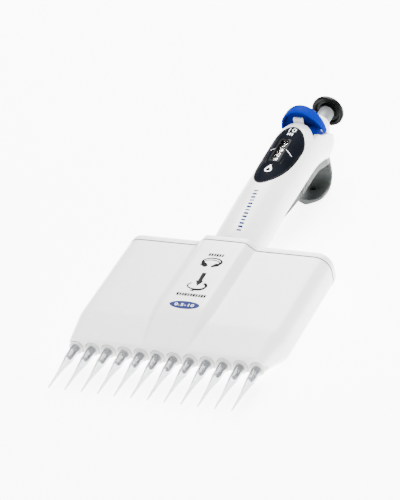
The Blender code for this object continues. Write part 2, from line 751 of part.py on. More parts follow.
def visor_ring(y, margin=0.0, rise=0.0):
    """The visor seen down the axis: half an ellipse that bulges to the front, its ends raised."""
    ring = []
    for i in range(19):
        a = math.pi * i / 18
        z = VISOR_CENTRE_Z + (VISOR_FRONT_Z - VISOR_CENTRE_Z - margin) * math.sin(a)
        ring.append(((VISOR_HALF - margin) * math.cos(a), y + rise * (1 - math.sin(a)), z))
    return ring


def ejector_key():
    """Thumb key: a hollow visor in front of the plunger, on a skirt and two bars inside the handle."""
    low, high = VISOR_Y
    rim = visor_ring(low, rise=VISOR_RISE)
    key = loft("ejector_key", [rim, visor_ring(high - 1.2), visor_ring(high, 1.2)], BLUE)
    cut(key, loft("underside", [visor_ring(y, VISOR_WALL) for y in (low - 3.0, VISOR_PLATE_Y)], BLUE))
    keep(key, block("front_part", (-20.0, 20.0), (170.0, 200.0), (VISOR_END_Z, 40.0), BLUE))
    add(key, rod("hub", 7.6, VISOR_PLATE_Y, high - 0.2, BLUE, 24))
    add(key, block("bridge", (-7.4, 7.4), (VISOR_PLATE_Y, high - 0.2), (0.0, VISOR_END_Z + 1), BLUE))
    for side in (-1, 1):
        x = sorted((side * SIDE_BAR_X[0], side * SIDE_BAR_X[1]))
        add(key, block("side_bar", x, (CARRIER_Y[0], 190.0), SIDE_BAR_Z, BLUE))
    skirt = handle_body("skirt", BLUE, -WALL - GAP, SKIRT_BOTTOM_Y, 192.0)
    keep(skirt, handle_body("travel_room", BLUE, -WALL - GAP, 168.0, 188.0, EJECTOR_TRAVEL))
    cut(skirt, handle_body("skirt_inside", BLUE, -WALL - GAP - 1.5, SKIRT_BOTTOM_Y - 1, 193.0))
    keep(skirt, block("front_part", (-15.0, 15.0), (170.0, 195.0), (2.0, 30.0), BLUE))
    slot_half = LOCK_HALF + LOCK_TRAVEL + 0.7
    cut(skirt, block("lock_slot", (-slot_half, slot_half), (170.0, 191.2), (5.0, 30.0), BLUE))
    add(key, skirt)
    add(key, rod("carrier", 10.1, *CARRIER_Y, BLUE, 24))
    cut(key, rod("bore", SLEEVE_RADII[1] + GAP, STOP_Y[1], SLEEVE_TOP_Y, BLUE, 24))
    add(key, rod("tube", TUBE_RADII[1], TUBE_BOTTOM_Y, CARRIER_Y[1], BLUE, 20))
    cut(key, rod("tube_bore", TUBE_RADII[0], TUBE_BOTTOM_Y - 1, CARRIER_Y[1] + 1, BLUE, 20))
    coil("ejector_spring", 5.2, 0.4, SPIGOT_TOP_Y + GAP, CARRIER_Y[0] - GAP, 3, STEEL)


def volume_lock():
    """Small slider in front of the plunger that locks the set volume."""
    width = (-LOCK_HALF, LOCK_HALF)
    nub = block("volume_lock", width, (BROW_Y + GAP, 185.5), (LOCK_BACK, 19.2), STEM)
    return add(nub, block("foot", width, (180.5, 185.0), (LOCK_BACK, LOCK_BACK + 0.8), STEM))


manifold_casing()
manifold_cap()
cone_block()
nose_cones()
guide_rods()
piston_rack()
ejector_bar()
ejector_yoke()
tips()
handle_shell()
display()
finger_rest()
finger_rest_screw()
top_cap()
coupling_ring()
stop_ring()
counter_frame()
counter()
dial_sleeve()
plunger()
ejector_key()
volume_lock()
bpy.context.view_layer.update()
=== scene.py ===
"""Looks of the twelve-channel pipette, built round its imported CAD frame.

Each piece is modelled in the pipette's own frame, in millimetres: x runs across the manifold, y up the
plunger's axis and z out of the front. PLACE carries that frame into the row's, from the dial's joint.
"""

import json
import math

import bmesh
import bpy
import numpy as np
from mathutils import Matrix, Quaternion, Vector


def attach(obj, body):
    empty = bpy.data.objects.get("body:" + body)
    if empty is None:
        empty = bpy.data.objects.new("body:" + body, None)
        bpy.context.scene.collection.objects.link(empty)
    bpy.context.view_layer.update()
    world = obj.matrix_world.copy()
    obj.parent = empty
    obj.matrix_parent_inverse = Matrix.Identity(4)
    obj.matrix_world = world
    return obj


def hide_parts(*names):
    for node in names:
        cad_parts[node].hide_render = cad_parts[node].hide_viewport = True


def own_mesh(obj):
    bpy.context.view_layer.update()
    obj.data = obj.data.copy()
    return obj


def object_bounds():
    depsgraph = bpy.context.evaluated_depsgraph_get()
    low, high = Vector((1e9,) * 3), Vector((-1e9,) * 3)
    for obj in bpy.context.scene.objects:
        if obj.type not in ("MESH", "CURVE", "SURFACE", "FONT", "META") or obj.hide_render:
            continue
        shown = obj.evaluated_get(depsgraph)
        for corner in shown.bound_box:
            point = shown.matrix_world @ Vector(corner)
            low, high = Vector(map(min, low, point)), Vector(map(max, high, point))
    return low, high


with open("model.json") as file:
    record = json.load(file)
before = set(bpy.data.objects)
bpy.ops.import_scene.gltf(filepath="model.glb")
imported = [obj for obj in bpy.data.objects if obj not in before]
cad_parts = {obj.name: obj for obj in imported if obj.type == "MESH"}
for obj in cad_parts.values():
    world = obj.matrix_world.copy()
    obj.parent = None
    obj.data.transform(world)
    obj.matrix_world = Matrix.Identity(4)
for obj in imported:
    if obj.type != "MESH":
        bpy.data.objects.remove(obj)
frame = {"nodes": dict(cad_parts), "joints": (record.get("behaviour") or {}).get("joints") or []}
cad_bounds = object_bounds()

MM = 0.001
DIAL_Y = 147.0
CHANNELS = 12


def pipette_place():
    """The pipette's frame in the row's: the dial turns about y, at DIAL_Y."""
    dial = next(j for j in frame["joints"] if j["name"] == "volume_dial")
    up = Vector(dial["axis"]).normalized()
    across = Vector((1, 0, 0))
    place = Matrix((across, up, across.cross(up))).transposed().to_4x4()
    place.translation = Vector(dial["pos_m"]) - up * DIAL_Y * MM
    return place


PLACE = pipette_place()


def span(node):
    """Lowest and highest corners of a CAD node in the pipette's frame, in millimetres."""
    back = PLACE.inverted()
    points = np.array([back @ v.co for v in frame["nodes"][node].data.vertices]) / MM
    return Vector(points.min(0)), Vector(points.max(0))


CASE = span("manifold_casing")
CAP = span("manifold_cap")
PLATE = span("display_plate")
BUTTON = span("plunger_button")
STEM = span("plunger_stem")
KEY = span("ejector_key")
TIP = span("tip_01")
CONE = span("nose_cone_01")
BAR = span("ejector_bar")
PITCH = (span("tip_12")[0].x - TIP[0].x) / (CHANNELS - 1)

# Casing: the mouth is narrower than the body, which is full from the waist up
WAIST_Y = 20.0
MOUTH_HALF = 53.0
MOUTH_FRONT = 6.0
MOUTH_BACK = -3.0
CASE_FRONT = 8.5
CASE_BACK = CASE[0].z
CASE_RADIUS = 8.0
SPINE_FRONT = CASE[1].z
SPINE_HALF = 11.7
SPINE_FOOT = 16.6
SPINE_RAMP_Y = 27.0
WALL = 1.8
FLOOR = 2.2
CAP_TOP_Y = 85.5
CAP_PLATE = 2.1
CAP_LEVEL = 80.0  # the cap and the painted shade in its seam have the casing's section at this height
HOLE_RADIUS = 4.1
SPIGOT_RADIUS = 7.5
SPIGOT_TOP_Y = 91.8
FLANGE_RADIUS = 9.2
FLANGE_Y = 90.3
SCREW_X = 36.0
SCREW_RADIUS = 2.6

# Ejector bar and its sleeves
YOKE_X = 27.0
BAR_Y = (25.0, 28.0)
SLEEVE_BORE = 2.25
SLEEVE_INNER = 3.3
SLEEVE_OUTER = 3.8

# Handle, as (y, half width, half depth, centre z) up the axis
STATIONS = (
    (86.0, 12.2, 12.4, 0.0),
    (92.0, 12.9, 13.2, 0.4),
    (110.0, 13.2, 13.7, 1.3),
    (121.0, 13.2, 13.5, 2.2),
    (130.0, 12.9, 13.1, 3.0),
    (147.0, 12.9, 13.4, 3.1),
    (165.0, 12.9, 13.9, 3.4),
    (178.0, 13.0, 14.4, 3.2),
    (193.0, 12.6, 15.3, -1.0),
    (199.0, 11.7, 14.6, -1.4),
)
HANDLE_Y = (86.0, 199.0)
HANDLE_SIDES = 72
BROW_Y = 183.5
OPENING_SIDE = (
    (176.4, 11.0),
    (BROW_Y, 15.5),
    (BROW_Y, 40.0),
    (230.0, 40.0),
    (230.0, 0.0),
    (199.5, 0.0),
    (196.5, 2.5),
    (190.0, 5.8),
    (185.4, 8.5),
    (183.9, 10.2),
)
PLATE_WIDEST_Y = 163.0
PLATE_DEPTH = 0.8
SLOT_HALF = 2.7
SLOT_Y = (148.2, 166.9)

# Counter
WHEELS = 4
WHEEL_RADIUS = 4.9
SHAFT_Z = 10.45
MODULE = 0.475
PINION_TEETH = 11
DIAL_TEETH = 33
DIAL_RADIUS = 5.2
DIAL_BORE = 4.4
GEAR_Y = 145.0
WHEEL_BORE = 1.3
WHEEL_WIDTH = 4.1
WHEEL_PITCH = 4.4
WHEEL_FIRST_Y = 148.9
DIGIT_SIZE = 2.9
MASK_HALF = 4.6
MASK_SLOT = 1.3
READING = (0, 0, 0, 1)

# Cover round the stem
COVER_Y = (196.3, 198.6)
STEM_BORE = 5.5
STEM_RADIUS = 4.1
GROOVE_RADIUS = 3.95
GROOVE_Y = (214.9, 215.5)

# Visor and its carrier
KEY_RADIUS = 7.6
TUBE_RADIUS = 3.7
TUBE_BORE = 2.7
CARRIER_RADIUS = 10.1
VISOR_Y = (184.2, KEY[1].y)
VISOR_PLATE_Y = 190.8
VISOR_HALF = 12.9
VISOR_CENTRE_Z = 6.0
VISOR_FRONT_Z = KEY[1].z
VISOR_END_Z = 8.6
VISOR_WALL = 1.0
VISOR_RISE = 4.5
SKIRT_Y = (174.8, 192.0)
SKIRT_WALL = 1.5
EJECTOR_TRAVEL = 5.0
CARRIER_Y = (100.4, 103.4)

# Hook
HOOK_CENTRE = (188.2, -21.2)
HOOK_RADIUS = 8.8
HOOK_THICKNESS = 3.0
HOOK_HALF = 8.0
STRIP_HALF = 10.6
SEAT_Y = 195.1
EYELET_Y = 187.0
HOOK_END_Y = 174.5
TILT = math.asin(PLACE.col[1].z)

# ---------------------------------------------------------------- materials


class Graph:
    """Short names for building one material's nodes."""

    def __init__(self, name):
        self.material = bpy.data.materials.new(name)
        self.material.use_nodes = True
        self.tree = self.material.node_tree
        self.shader = self.tree.nodes["Principled BSDF"]
        self.place = self.node("ShaderNodeTexCoord").outputs["Object"]

    def node(self, kind, **settings):
        made = self.tree.nodes.new(kind)
        for key, value in settings.items():
            setattr(made, key, value)
        return made

    def link(self, source, target):
        self.tree.links.new(source, target)

    def noise(self, scale, detail=3.0, rough=0.55, stretch=(1, 1, 1)):
        """Noise over the object's own metres: scale is in features per metre."""
        mapping = self.node("ShaderNodeMapping")
        mapping.inputs["Scale"].default_value = stretch
        self.link(self.place, mapping.inputs["Vector"])
        made = self.node("ShaderNodeTexNoise")
        made.inputs["Scale"].default_value = scale
        made.inputs["Detail"].default_value = detail
        made.inputs["Roughness"].default_value = rough
        self.link(mapping.outputs["Vector"], made.inputs["Vector"])
        return made.outputs["Fac"]

    def ranged(self, source, low, high):
        """The middle of a noise's range, spread from low to high."""
        made = self.node("ShaderNodeMapRange")
        for key, value in (("From Min", 0.3), ("From Max", 0.7), ("To Min", low), ("To Max", high)):
            made.inputs[key].default_value = value
        self.link(source, made.inputs["Value"])
        return made.outputs["Result"]

    def blend(self, factor, first, second):
        made = self.node("ShaderNodeMix", data_type="RGBA")
        colours = {"A": first, "B": second}
        for socket in made.inputs:
            if socket.type == "RGBA" and socket.name in colours:
                socket.default_value = (*colours[socket.name], 1)
        self.link(factor, made.inputs["Factor"])
        return next(s for s in made.outputs if s.type == "RGBA")

    def bump(self, height, distance, strength=0.5, under=None):
        made = self.node("ShaderNodeBump")
        made.inputs["Distance"].default_value = distance
        made.inputs["Strength"].default_value = strength
        self.link(height, made.inputs["Height"])
        if under:
            self.link(under, made.inputs["Normal"])
        return made.outputs["Normal"]


def plastic(name, colour, roughness, mottle=0.05, grain=1500.0, depth=0.00002, gloss=0.5, wave=None):
    """Moulded plastic: a faint flow mottle, a fine tool grain and uneven gloss."""
    g = Graph(name)
    deep = [c * (1 - mottle) for c in colour]
    pale = [min(c * (1 + mottle), 1.0) for c in colour]
    flow = g.noise(55.0, 4.0)
    g.link(g.blend(g.ranged(flow, 0.0, 1.0), deep, pale), g.shader.inputs["Base Color"])
    fine = g.noise(grain, 2.0)
    sheen = g.noise(190.0, 5.0, 0.65)
    g.link(g.ranged(sheen, roughness * 0.82, roughness * 1.2), g.shader.inputs["Roughness"])
    normal = g.bump(fine, depth)
    if wave:
        normal = g.bump(g.noise(wave, 1.0), 0.0002, 0.25, normal)
    g.link(normal, g.shader.inputs["Normal"])
    g.shader.inputs["Specular IOR Level"].default_value = gloss
    return g.material


def steel(name, colour, roughness):
    """Ground steel: fine lines along the axis with uneven polish."""
    g = Graph(name)
    lines = g.noise(2600.0, 3.0, 0.6, (1, 0.04, 1))
    flow = g.noise(120.0, 3.0)
    dull = [c * 0.8 for c in colour]
    g.link(g.blend(g.ranged(flow, 0.0, 1.0), dull, colour), g.shader.inputs["Base Color"])
    g.link(g.ranged(lines, roughness * 0.6, roughness * 1.5), g.shader.inputs["Roughness"])
    g.link(g.bump(lines, 0.00001, 0.4), g.shader.inputs["Normal"])
    g.shader.inputs["Metallic"].default_value = 1.0
    return g.material


def clear(name, colour, roughness, transmission, alpha=1.0):
    """Clear moulded plastic, with drawn streaks along the axis."""
    g = Graph(name)
    streaks = g.noise(900.0, 3.0, 0.6, (1, 0.06, 1))
    deep = [c * 0.86 for c in colour]
    g.link(g.blend(g.ranged(streaks, 0.0, 1.0), deep, colour), g.shader.inputs["Base Color"])
    g.link(g.ranged(streaks, roughness * 0.6, roughness * 1.6), g.shader.inputs["Roughness"])
    g.link(g.bump(streaks, 0.00001, 0.3), g.shader.inputs["Normal"])
    g.shader.inputs["Transmission Weight"].default_value = transmission
    g.shader.inputs["IOR"].default_value = 1.49
    g.shader.inputs["Alpha"].default_value = alpha
    return g.material


WHITE = plastic("white_moulding", (0.74, 0.74, 0.725), 0.24, 0.012, 1300.0, 0.000012, wave=260.0)
GRIP = plastic("handle_moulding", (0.76, 0.76, 0.745), 0.3, 0.02, 1700.0, 0.00003, wave=420.0)
GREY = plastic("grey_moulding", (0.032, 0.037, 0.0355), 0.5, 0.08, 1400.0, 0.00005, gloss=0.2)
DARK = plastic("button_moulding", (0.0025, 0.0033, 0.003), 0.28, 0.12, 1500.0, 0.00003, gloss=0.06)
SATIN = plastic("stem_moulding", (0.14, 0.145, 0.152), 0.34, 0.05, gloss=0.3)
NUB = plastic("nub_moulding", (0.42, 0.43, 0.42), 0.4, 0.05)
BLUE = plastic("blue_moulding", (0.0003, 0.011, 0.17), 0.5, 0.08, 1500.0, 0.00003, gloss=0.008)
NAVY = plastic("navy_face", (0.003, 0.0038, 0.0062), 0.5, 0.35, 2200.0, 0.00002, gloss=0.005)
# Black for the printed borders and the counter's mask, also painted as the shade inside the hook's eyelet
BLACK = plastic("black_border_and_eyelet_shade", (0.002, 0.002, 0.002), 0.4, 0.2, gloss=0.05)
WHEEL_BLACK = plastic("wheel_moulding", (0.002, 0.002, 0.002), 0.45, 0.2, gloss=0.05)
NATURAL = plastic("natural_moulding", (0.4, 0.41, 0.415), 0.38, 0.05)
SLEEVE = plastic("sleeve_moulding", (0.58, 0.58, 0.57), 0.35, 0.03)
# Near-black painted as the shade in the seam between the casing and its lid
SHADOW = plastic("painted_seam_shade", (0.03, 0.03, 0.03), 0.6, 0.2, gloss=0.1)
INK_BLACK = plastic("black_ink", (0.002, 0.002, 0.002), 0.55, 0.3, 3000.0, gloss=0.05)
INK_BLUE = plastic("blue_ink", (0.0003, 0.007, 0.075), 0.45, 0.15, 3000.0, gloss=0.1)
INK_WHITE = plastic("white_ink", (0.86, 0.87, 0.88), 0.5, 0.04, 3000.0)
METAL = steel("ground_steel", (0.62, 0.63, 0.64), 0.24)
CLEAR = clear("clear_tip_plastic", (0.7, 0.715, 0.73), 0.06, 0.96)
WINDOW = clear("window_plastic", (0.9, 0.93, 0.98), 0.04, 1.0, 0.04)

# ---------------------------------------------------------------- shapes


def shape(bm):
    """A working object, in millimetres, from a bmesh."""
    bmesh.ops.remove_doubles(bm, verts=bm.verts, dist=1e-5)
    bmesh.ops.recalc_face_normals(bm, faces=bm.faces)
    mesh = bpy.data.meshes.new("work")
    bm.to_mesh(mesh)
    bm.free()
    obj = bpy.data.objects.new("work", mesh)
    bpy.context.scene.collection.objects.link(obj)
    return obj


def settle(obj):
    """Applies the object's modifiers to its mesh."""
    graph = bpy.context.evaluated_depsgraph_get()
    mesh = bpy.data.meshes.new_from_object(obj.evaluated_get(graph))
    obj.modifiers.clear()
    obj.data = mesh
    return obj


def combine(obj, other, operation):
    modifier = obj.modifiers.new("combine", "BOOLEAN")
    modifier.operation = operation
    modifier.object = other
    settle(obj)
    bpy.data.objects.remove(other, do_unlink=True)
    return obj


def cut(obj, other):
    return combine(obj, other, "DIFFERENCE")


def add(obj, other):
    return combine(obj, other, "UNION")


def keep(obj, other):
    return combine(obj, other, "INTERSECT")


def soften(obj, width, angle=38.0, segments=2):
    """Rounds every edge sharper than the angle."""
    modifier = obj.modifiers.new("soften", "BEVEL")
    modifier.width = width
    modifier.segments = segments
    modifier.limit_method = "ANGLE"
    modifier.angle_limit = math.radians(angle)
    return settle(obj)


def piece(obj, name, mat, body, slot, *nodes, sharp=42.0):
    """Makes a working object into a named piece that rides on a body and stands for CAD nodes."""
    mesh = obj.data
    mesh.transform(PLACE @ Matrix.Scale(MM, 4))
    mesh.materials.clear()
    mesh.materials.append(mat)
    mesh.shade_smooth()
    mesh.set_sharp_from_angle(angle=math.radians(sharp))
    obj.name = name
    mesh.name = name
    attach(obj, body)
    if nodes:
        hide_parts(*nodes)
    return obj


def skin(bm, rings, closed=False):
    """Quads between rings of equal length, capped at both ends unless the rings close on themselves."""
    rows = [[bm.verts.new(p) for p in ring] for ring in rings]
    pairs = list(zip(rows, rows[1:]))
    if closed:
        pairs.append((rows[-1], rows[0]))
    for low, high in pairs:
        for i in range(len(low)):
            j = (i + 1) % len(low)
            bm.faces.new((low[i], low[j], high[j], high[i]))
    if not closed:
        bm.faces.new(rows[0])
        bm.faces.new(rows[-1])


def loft(rings, closed=False):
    """A working object skinned over rings."""
    bm = bmesh.new()
    skin(bm, rings, closed)
    return shape(bm)


def rounded(outline, radius, steps=4, closed=True):
    """An outline whose corners are arcs of one radius, or less where a side is short."""
    points = [Vector(p) for p in outline]
    count = len(points)
    result = []
    for i, corner in enumerate(points):
        if not closed and i in (0, count - 1):
            result.append(tuple(corner))
            continue
        before = points[i - 1] - corner
        after = points[(i + 1) % count] - corner
        angle = before.angle(after)
        reach = min(radius / math.tan(angle / 2), 0.45 * before.length, 0.45 * after.length)
        start = corner + before.normalized() * reach
        end = corner + after.normalized() * reach
        for k in range(steps + 1):
            t = k / steps
            point = start * (1 - t) ** 2 + corner * (2 * t * (1 - t)) + end * t ** 2
            result.append(tuple(point))
    return result


def circle(radius, y, sides, x=0.0, z=0.0):
    """Points of a circle about y."""
    turn = [2 * math.pi * (i + 0.5) / sides for i in range(sides)]
    return [(x + radius * math.cos(a), y, z + radius * math.sin(a)) for a in turn]


def turned(profile, sides=48, centres=((0, 0),), radius=0.0):
    """A closed outline of (radius, y), its corners rounded, turned about y at each (x, z) centre."""
    outline = rounded(profile, radius) if radius else profile
    bm = bmesh.new()
    for x, z in centres:
        skin(bm, [circle(r, y, sides, x, z) for r, y in outline], closed=True)
    return shape(bm)


def spindle(profile, sides=48, radius=0.0, x=0.0):
    """A solid turned about y, flat at both ends, from (radius, y) up its side."""
    outline = rounded(profile, radius, closed=False) if radius else profile
    return loft([circle(r, y, sides, x) for r, y in outline])


def rod(radius, low, high, sides=40, centres=((0, 0),), edge=0.0):
    """Plain or round-edged bars about y."""
    bm = bmesh.new()
    for x, z in centres:
        if edge:
            near = 0.3 * edge
            profile = [(radius - edge, low), (radius - near, low + near), (radius, low + edge)]
            profile += [(radius, high - edge), (radius - near, high - near), (radius - edge, high)]
        else:
            profile = [(radius, low), (radius, high)]
        skin(bm, [circle(r, y, sides, x, z) for r, y in profile])
    return shape(bm)


def block(x, y, z):
    """A box from three spans."""
    ring = [(x[0], z[0]), (x[1], z[0]), (x[1], z[1]), (x[0], z[1])]
    return loft([[(a, level, b) for a, b in ring] for level in y])


def prism(outline, low, high, axis="z"):
    """An outline of (y, z) extruded along x, or of (x, y) along z."""
    if axis == "x":
        return loft([[(level, a, b) for a, b in outline] for level in (low, high)])
    return loft([[(a, b, level) for a, b in outline] for level in (low, high)])


def coil(radius, wire, low, high, turns, x=0.0):
    """A compression spring of round wire, with its end turns closed."""
    steps = 28 * turns
    rings = []
    for i in range(steps + 1):
        s = i / steps
        a = 2 * math.pi * turns * s
        lift = 0.5 - 0.5 * math.cos(math.pi * s)
        y = low + wire + (high - low - 2 * wire) * (0.55 * s + 0.45 * lift)
        ring = []
        for k in range(10):
            b = 2 * math.pi * k / 10
            r = radius + wire * math.cos(b)
            ring.append((x + r * math.cos(a), y + wire * math.sin(b), r * math.sin(a)))
        rings.append(ring)
    return loft(rings)


def channel_xs():
    return [(i - (CHANNELS - 1) / 2) * PITCH for i in range(CHANNELS)]


def soft_ramp(t, k=0.12):
    """0 below 0 and 1 above 1, with rounded ends."""
    bend = lambda u: 0.5 * (u + math.sqrt(u * u + k * k))
    return bend(t) - bend(t - 1)


# ---------------------------------------------------------------- manifold


def case_ring(y, inset=0.0, grow_y=None):
    """Section of the manifold at one height: a slab with round sides and the spine down its front."""
    level = y if grow_y is None else grow_y
    s = soft_ramp(level / WAIST_Y, 0.05) if level > 0 else 0.0
    ramp = soft_ramp(level / SPINE_RAMP_Y, 0.06) if level > 0 else 0.0
    half = MOUTH_HALF + s * (CASE[1].x - MOUTH_HALF) - inset
    front = MOUTH_FRONT + s * (CASE_FRONT - MOUTH_FRONT) - inset
    back = MOUTH_BACK + s * (CASE_BACK - MOUTH_BACK) + inset
    radius = max(4.0 + s * (CASE_RADIUS - 4.0) - inset, 0.8)
    rise = 0.05 + ramp * (SPINE_FRONT - CASE_FRONT - 0.05)
    foot = SPINE_HALF + 0.5 + ramp * (SPINE_FOOT - SPINE_HALF - 0.5)
    run = foot - SPINE_HALF
    ring = []
    for n, (sx, sz) in enumerate(((1, 1), (-1, 1), (-1, -1), (1, -1))):
        cx = sx * (half - radius)
        cz = (front if sz > 0 else back) - sz * radius
        for k in range(13):
            a = math.radians(90 * n + 7.5 * k)
            ring.append((cx + radius * math.cos(a), y, cz + radius * math.sin(a)))
        if n == 0:
            steps = [foot - run * t for t in np.linspace(-0.6, 1.6, 19)]
            reach = half - radius
            xs = [reach * q for q in (0.9, 0.75, 0.6, 0.48)] + steps + [SPINE_HALF * q for q in (0.5, 0.2)]
            xs += [-x for x in reversed(xs)]
            for x in xs:
                ring.append((x, y, front + rise * soft_ramp((foot - abs(x)) / run)))
    return ring


def case_levels(low, high):
    fixed = [4.0, 8.0, 12.0, 15.0, 17.0, 18.0, 19.0, 20.0, 21.0, 22.0, 23.0, 24.5, 26.0, 27.0, 28.0, 30.0]
    fixed += [34.0 + 6.0 * i for i in range(8)]
    return [low] + [y for y in fixed if low + 1 < y < high - 1] + [high]


def manifold_casing():
    top = CASE[1].y
    edge = [case_ring(0.0, 0.55), case_ring(0.12, 0.22), case_ring(0.45, 0.05)]
    lip = [case_ring(top - 0.15, 0.05), case_ring(top, 0.3)]
    body = [case_ring(y) for y in case_levels(1.0, top - 0.6)]
    case = loft(edge + body + lip)
    cut(case, loft([case_ring(y, WALL) for y in case_levels(FLOOR, top + 1)]))
    holes = [(x, 0) for x in channel_xs()]
    cut(case, rod(HOLE_RADIUS, -6.0, 14.0, 48, holes))
    soften(case, 0.18, 50.0)
    piece(case, "casing_shell", WHITE, "manifold", "white_plastic", "manifold_casing")


def manifold_cap():
    low, high = CAP[0].y, CAP_TOP_Y
    profile = ((low, 0.35), (low + 0.15, 0.08), (low + 0.5, 0.0), (high - 1.4, 0.0))
    profile += ((high - 0.9, 0.12), (high - 0.45, 0.4), (high - 0.12, 0.85), (high, 1.5))
    cap = loft([case_ring(y, inset, CAP_LEVEL) for y, inset in profile])
    cut(cap, loft([case_ring(y, WALL, CAP_LEVEL) for y in (low - 1, high - CAP_PLATE)]))
    add(cap, rod(SPIGOT_RADIUS, high - 1, SPIGOT_TOP_Y, 56))
    add(cap, rod(FLANGE_RADIUS, FLANGE_Y, SPIGOT_TOP_Y, 56))
    cut(cap, rod(4.2, 80.0, 95.0, 48))
    seats = [(-SCREW_X, 0), (SCREW_X, 0)]
    cut(cap, rod(1.5, 80.0, 90.0, 24, seats))
    cut(cap, rod(SCREW_RADIUS + 0.3, high - 1.6, 90.0, 40, seats))
    soften(cap, 0.15, 50.0)
    piece(cap, "casing_lid", WHITE, "manifold", "white_plastic", "manifold_cap")


def lid_seal():
    """Painted shade: a dark ring in the seam that shows as a fine line between the casing and its lid."""
    low, high = CASE[1].y - 0.15, CAP[0].y + 0.15
    shade_ring = loft([case_ring(y, -0.04, CAP_LEVEL) for y in (low, high)])
    cut(shade_ring, loft([case_ring(y, WALL - 0.2, CAP_LEVEL) for y in (low - 1, high + 1)]))
    piece(shade_ring, "lid_seal", SHADOW, "manifold", "dark_plastic")


def cap_screws():
    for side, x in (("left", -SCREW_X), ("right", SCREW_X)):
        low, high = span(f"cap_screw_{side}")
        head = high.y - 1.1
        profile = [(0.6, low.y), (1.0, low.y + 0.5), (1.0, head), (SCREW_RADIUS, head)]
        profile += [(SCREW_RADIUS, high.y - 0.35), (SCREW_RADIUS - 0.7, high.y)]
        screw = spindle(profile, 40, 0.2, x)
        for turn in (0, 90):
            drive = block((-1.5, 1.5), (high.y - 0.8, high.y + 1), (-0.3, 0.3))
            drive.data.transform(Matrix.Translation((x, 0, 0)) @ Matrix.Rotation(math.radians(turn), 4, "Y"))
            cut(screw, drive)
        piece(screw, f"lid_screw_{side}", METAL, "manifold", "steel", f"cap_screw_{side}")


def nose_cones():
    """Barrels whose lower ends taper into the tips, with two sealing rings."""
    low, high = CONE
    top = high.y
    outline = [(0.5, low.y), (1.55, low.y), (1.75, low.y + 0.3), (1.78, low.y + 1.8), (1.88, low.y + 2.0)]
    outline += [(1.88, low.y + 2.5), (1.82, low.y + 2.7), (1.86, low.y + 5.0), (2.0, low.y + 5.2)]
    outline += [(2.0, low.y + 5.7), (1.9, low.y + 5.9), (2.0, 1.6), (3.0, 2.6), (3.0, 29.0), (4.0, 29.0)]
    outline += [(4.0, top), (1.3, top), (1.3, 16.0), (0.5, 15.0)]
    for number, x in enumerate(channel_xs(), 1):
        cone = turned(outline, 36, ((x, 0),))
        piece(cone, f"barrel_{number:02d}", NATURAL, "manifold", "cone_plastic", f"nose_cone_{number:02d}")


def tips():
    """Clear tips: a ribbed collar over a fine drawn taper."""
    end, top = TIP[0].y, TIP[1].y
    profile = [(0.22, end), (0.38, end), (0.45, end + 1.0), (1.02, -20.0), (1.9, -11.4), (2.16, -10.2)]
    profile += [(2.24, -9.2), (2.28, -6.0), (2.3, top - 1.6), (2.45, top - 1.3), (2.45, top - 0.15)]
    profile += [(2.38, top), (2.26, top), (2.2, top - 0.4), (2.13, -4.0), (1.95, -9.2), (0.7, -19.5)]
    profile += [(0.3, end + 1.0)]
    ribs = 8
    sides = 64
    for number, x in enumerate(channel_xs(), 1):
        rings = []
        for i, (r, y) in enumerate(profile):
            outer = 5 <= i <= 8
            ring = []
            for k in range(sides):
                a = 2 * math.pi * (k + 0.5) / sides
                swell = 0.15 * max(0.0, math.cos(ribs * a)) ** 3 if outer else 0.0
                if i == 5:
                    swell *= 0.2
                ring.append((x + (r + swell) * math.cos(a), y, (r + swell) * math.sin(a)))
            rings.append(ring)
        tip = loft(rings, closed=True)
        piece(tip, f"clear_tip_{number:02d}", CLEAR, "tips", "clear_tip", f"tip_{number:02d}", sharp=60.0)


def ejector_sleeves():
    low, high = BAR_Y
    bar = block((BAR[0].x, BAR[1].x), (low, high), (-5.0, 4.2))
    for x in (-YOKE_X, YOKE_X):
        add(bar, block((x - 2.5, x + 2.5), (low, high), (-9.4, -4.0)))
    places = [(x, 0) for x in channel_xs()]
    cut(bar, rod(3.5, 20.0, 32.0, 40, places))
    bottom = BAR[0].y
    lip = 1.3
    sleeve = [(SLEEVE_BORE, bottom), (SLEEVE_OUTER, bottom), (SLEEVE_OUTER, low + 0.5)]
    sleeve += [(SLEEVE_INNER, low + 0.5), (SLEEVE_INNER, lip), (SLEEVE_BORE, lip)]
    add(bar, turned(sleeve, 48, places, 0.22))
    piece(bar, "ejector_sleeves", SLEEVE, "ejector", "cone_plastic", "ejector_bar")


# ---------------------------------------------------------------- handle


def station(y):
    """Half width, half depth and centre of the handle at a height, on a smooth curve through the stations."""
    rows = STATIONS
    i = max(0, min(len(rows) - 2, sum(1 for s in rows if s[0] <= y) - 1))
    y0, y1 = rows[i][0], rows[i + 1][0]
    t = (y - y0) / (y1 - y0)
    result = []
    for c in (1, 2, 3):
        a, b = rows[i][c], rows[i + 1][c]
        before = rows[i - 1] if i else rows[i]
        after = rows[i + 2] if i + 2 < len(rows) else rows[i + 1]
        m0 = (b - before[c]) / (y1 - before[0]) * (y1 - y0)
        m1 = (after[c] - a) / (after[0] - y0) * (y1 - y0)
        value = a * (2 * t ** 3 - 3 * t * t + 1) + b * (3 * t * t - 2 * t ** 3)
        result.append(value + m0 * (t ** 3 - 2 * t * t + t) + m1 * (t ** 3 - t * t))
    return result


def handle_ring(y, place, grow):
    """The handle's section at a height y, made wider all round and moved to another height."""
    rx, rz, cz = station(y)
    turn = [2 * math.pi * (i + 0.5) / HANDLE_SIDES for i in range(HANDLE_SIDES)]
    return [((rx + grow) * math.cos(a), place, cz + (rz + grow) * math.sin(a)) for a in turn]


def handle_body(grow=0.0, low=HANDLE_Y[0], high=HANDLE_Y[1], shift=0.0):
    """The handle as a solid between two heights, with straight ends past its own."""
    count = max(2, round((high - low) / 3.0))
    rings = []
    for i in range(count + 1):
        place = low + (high - low) * i / count
        level = max(HANDLE_Y[0], min(HANDLE_Y[1], place))
        rings.append(handle_ring(level, place + shift, grow))
    return loft(rings)


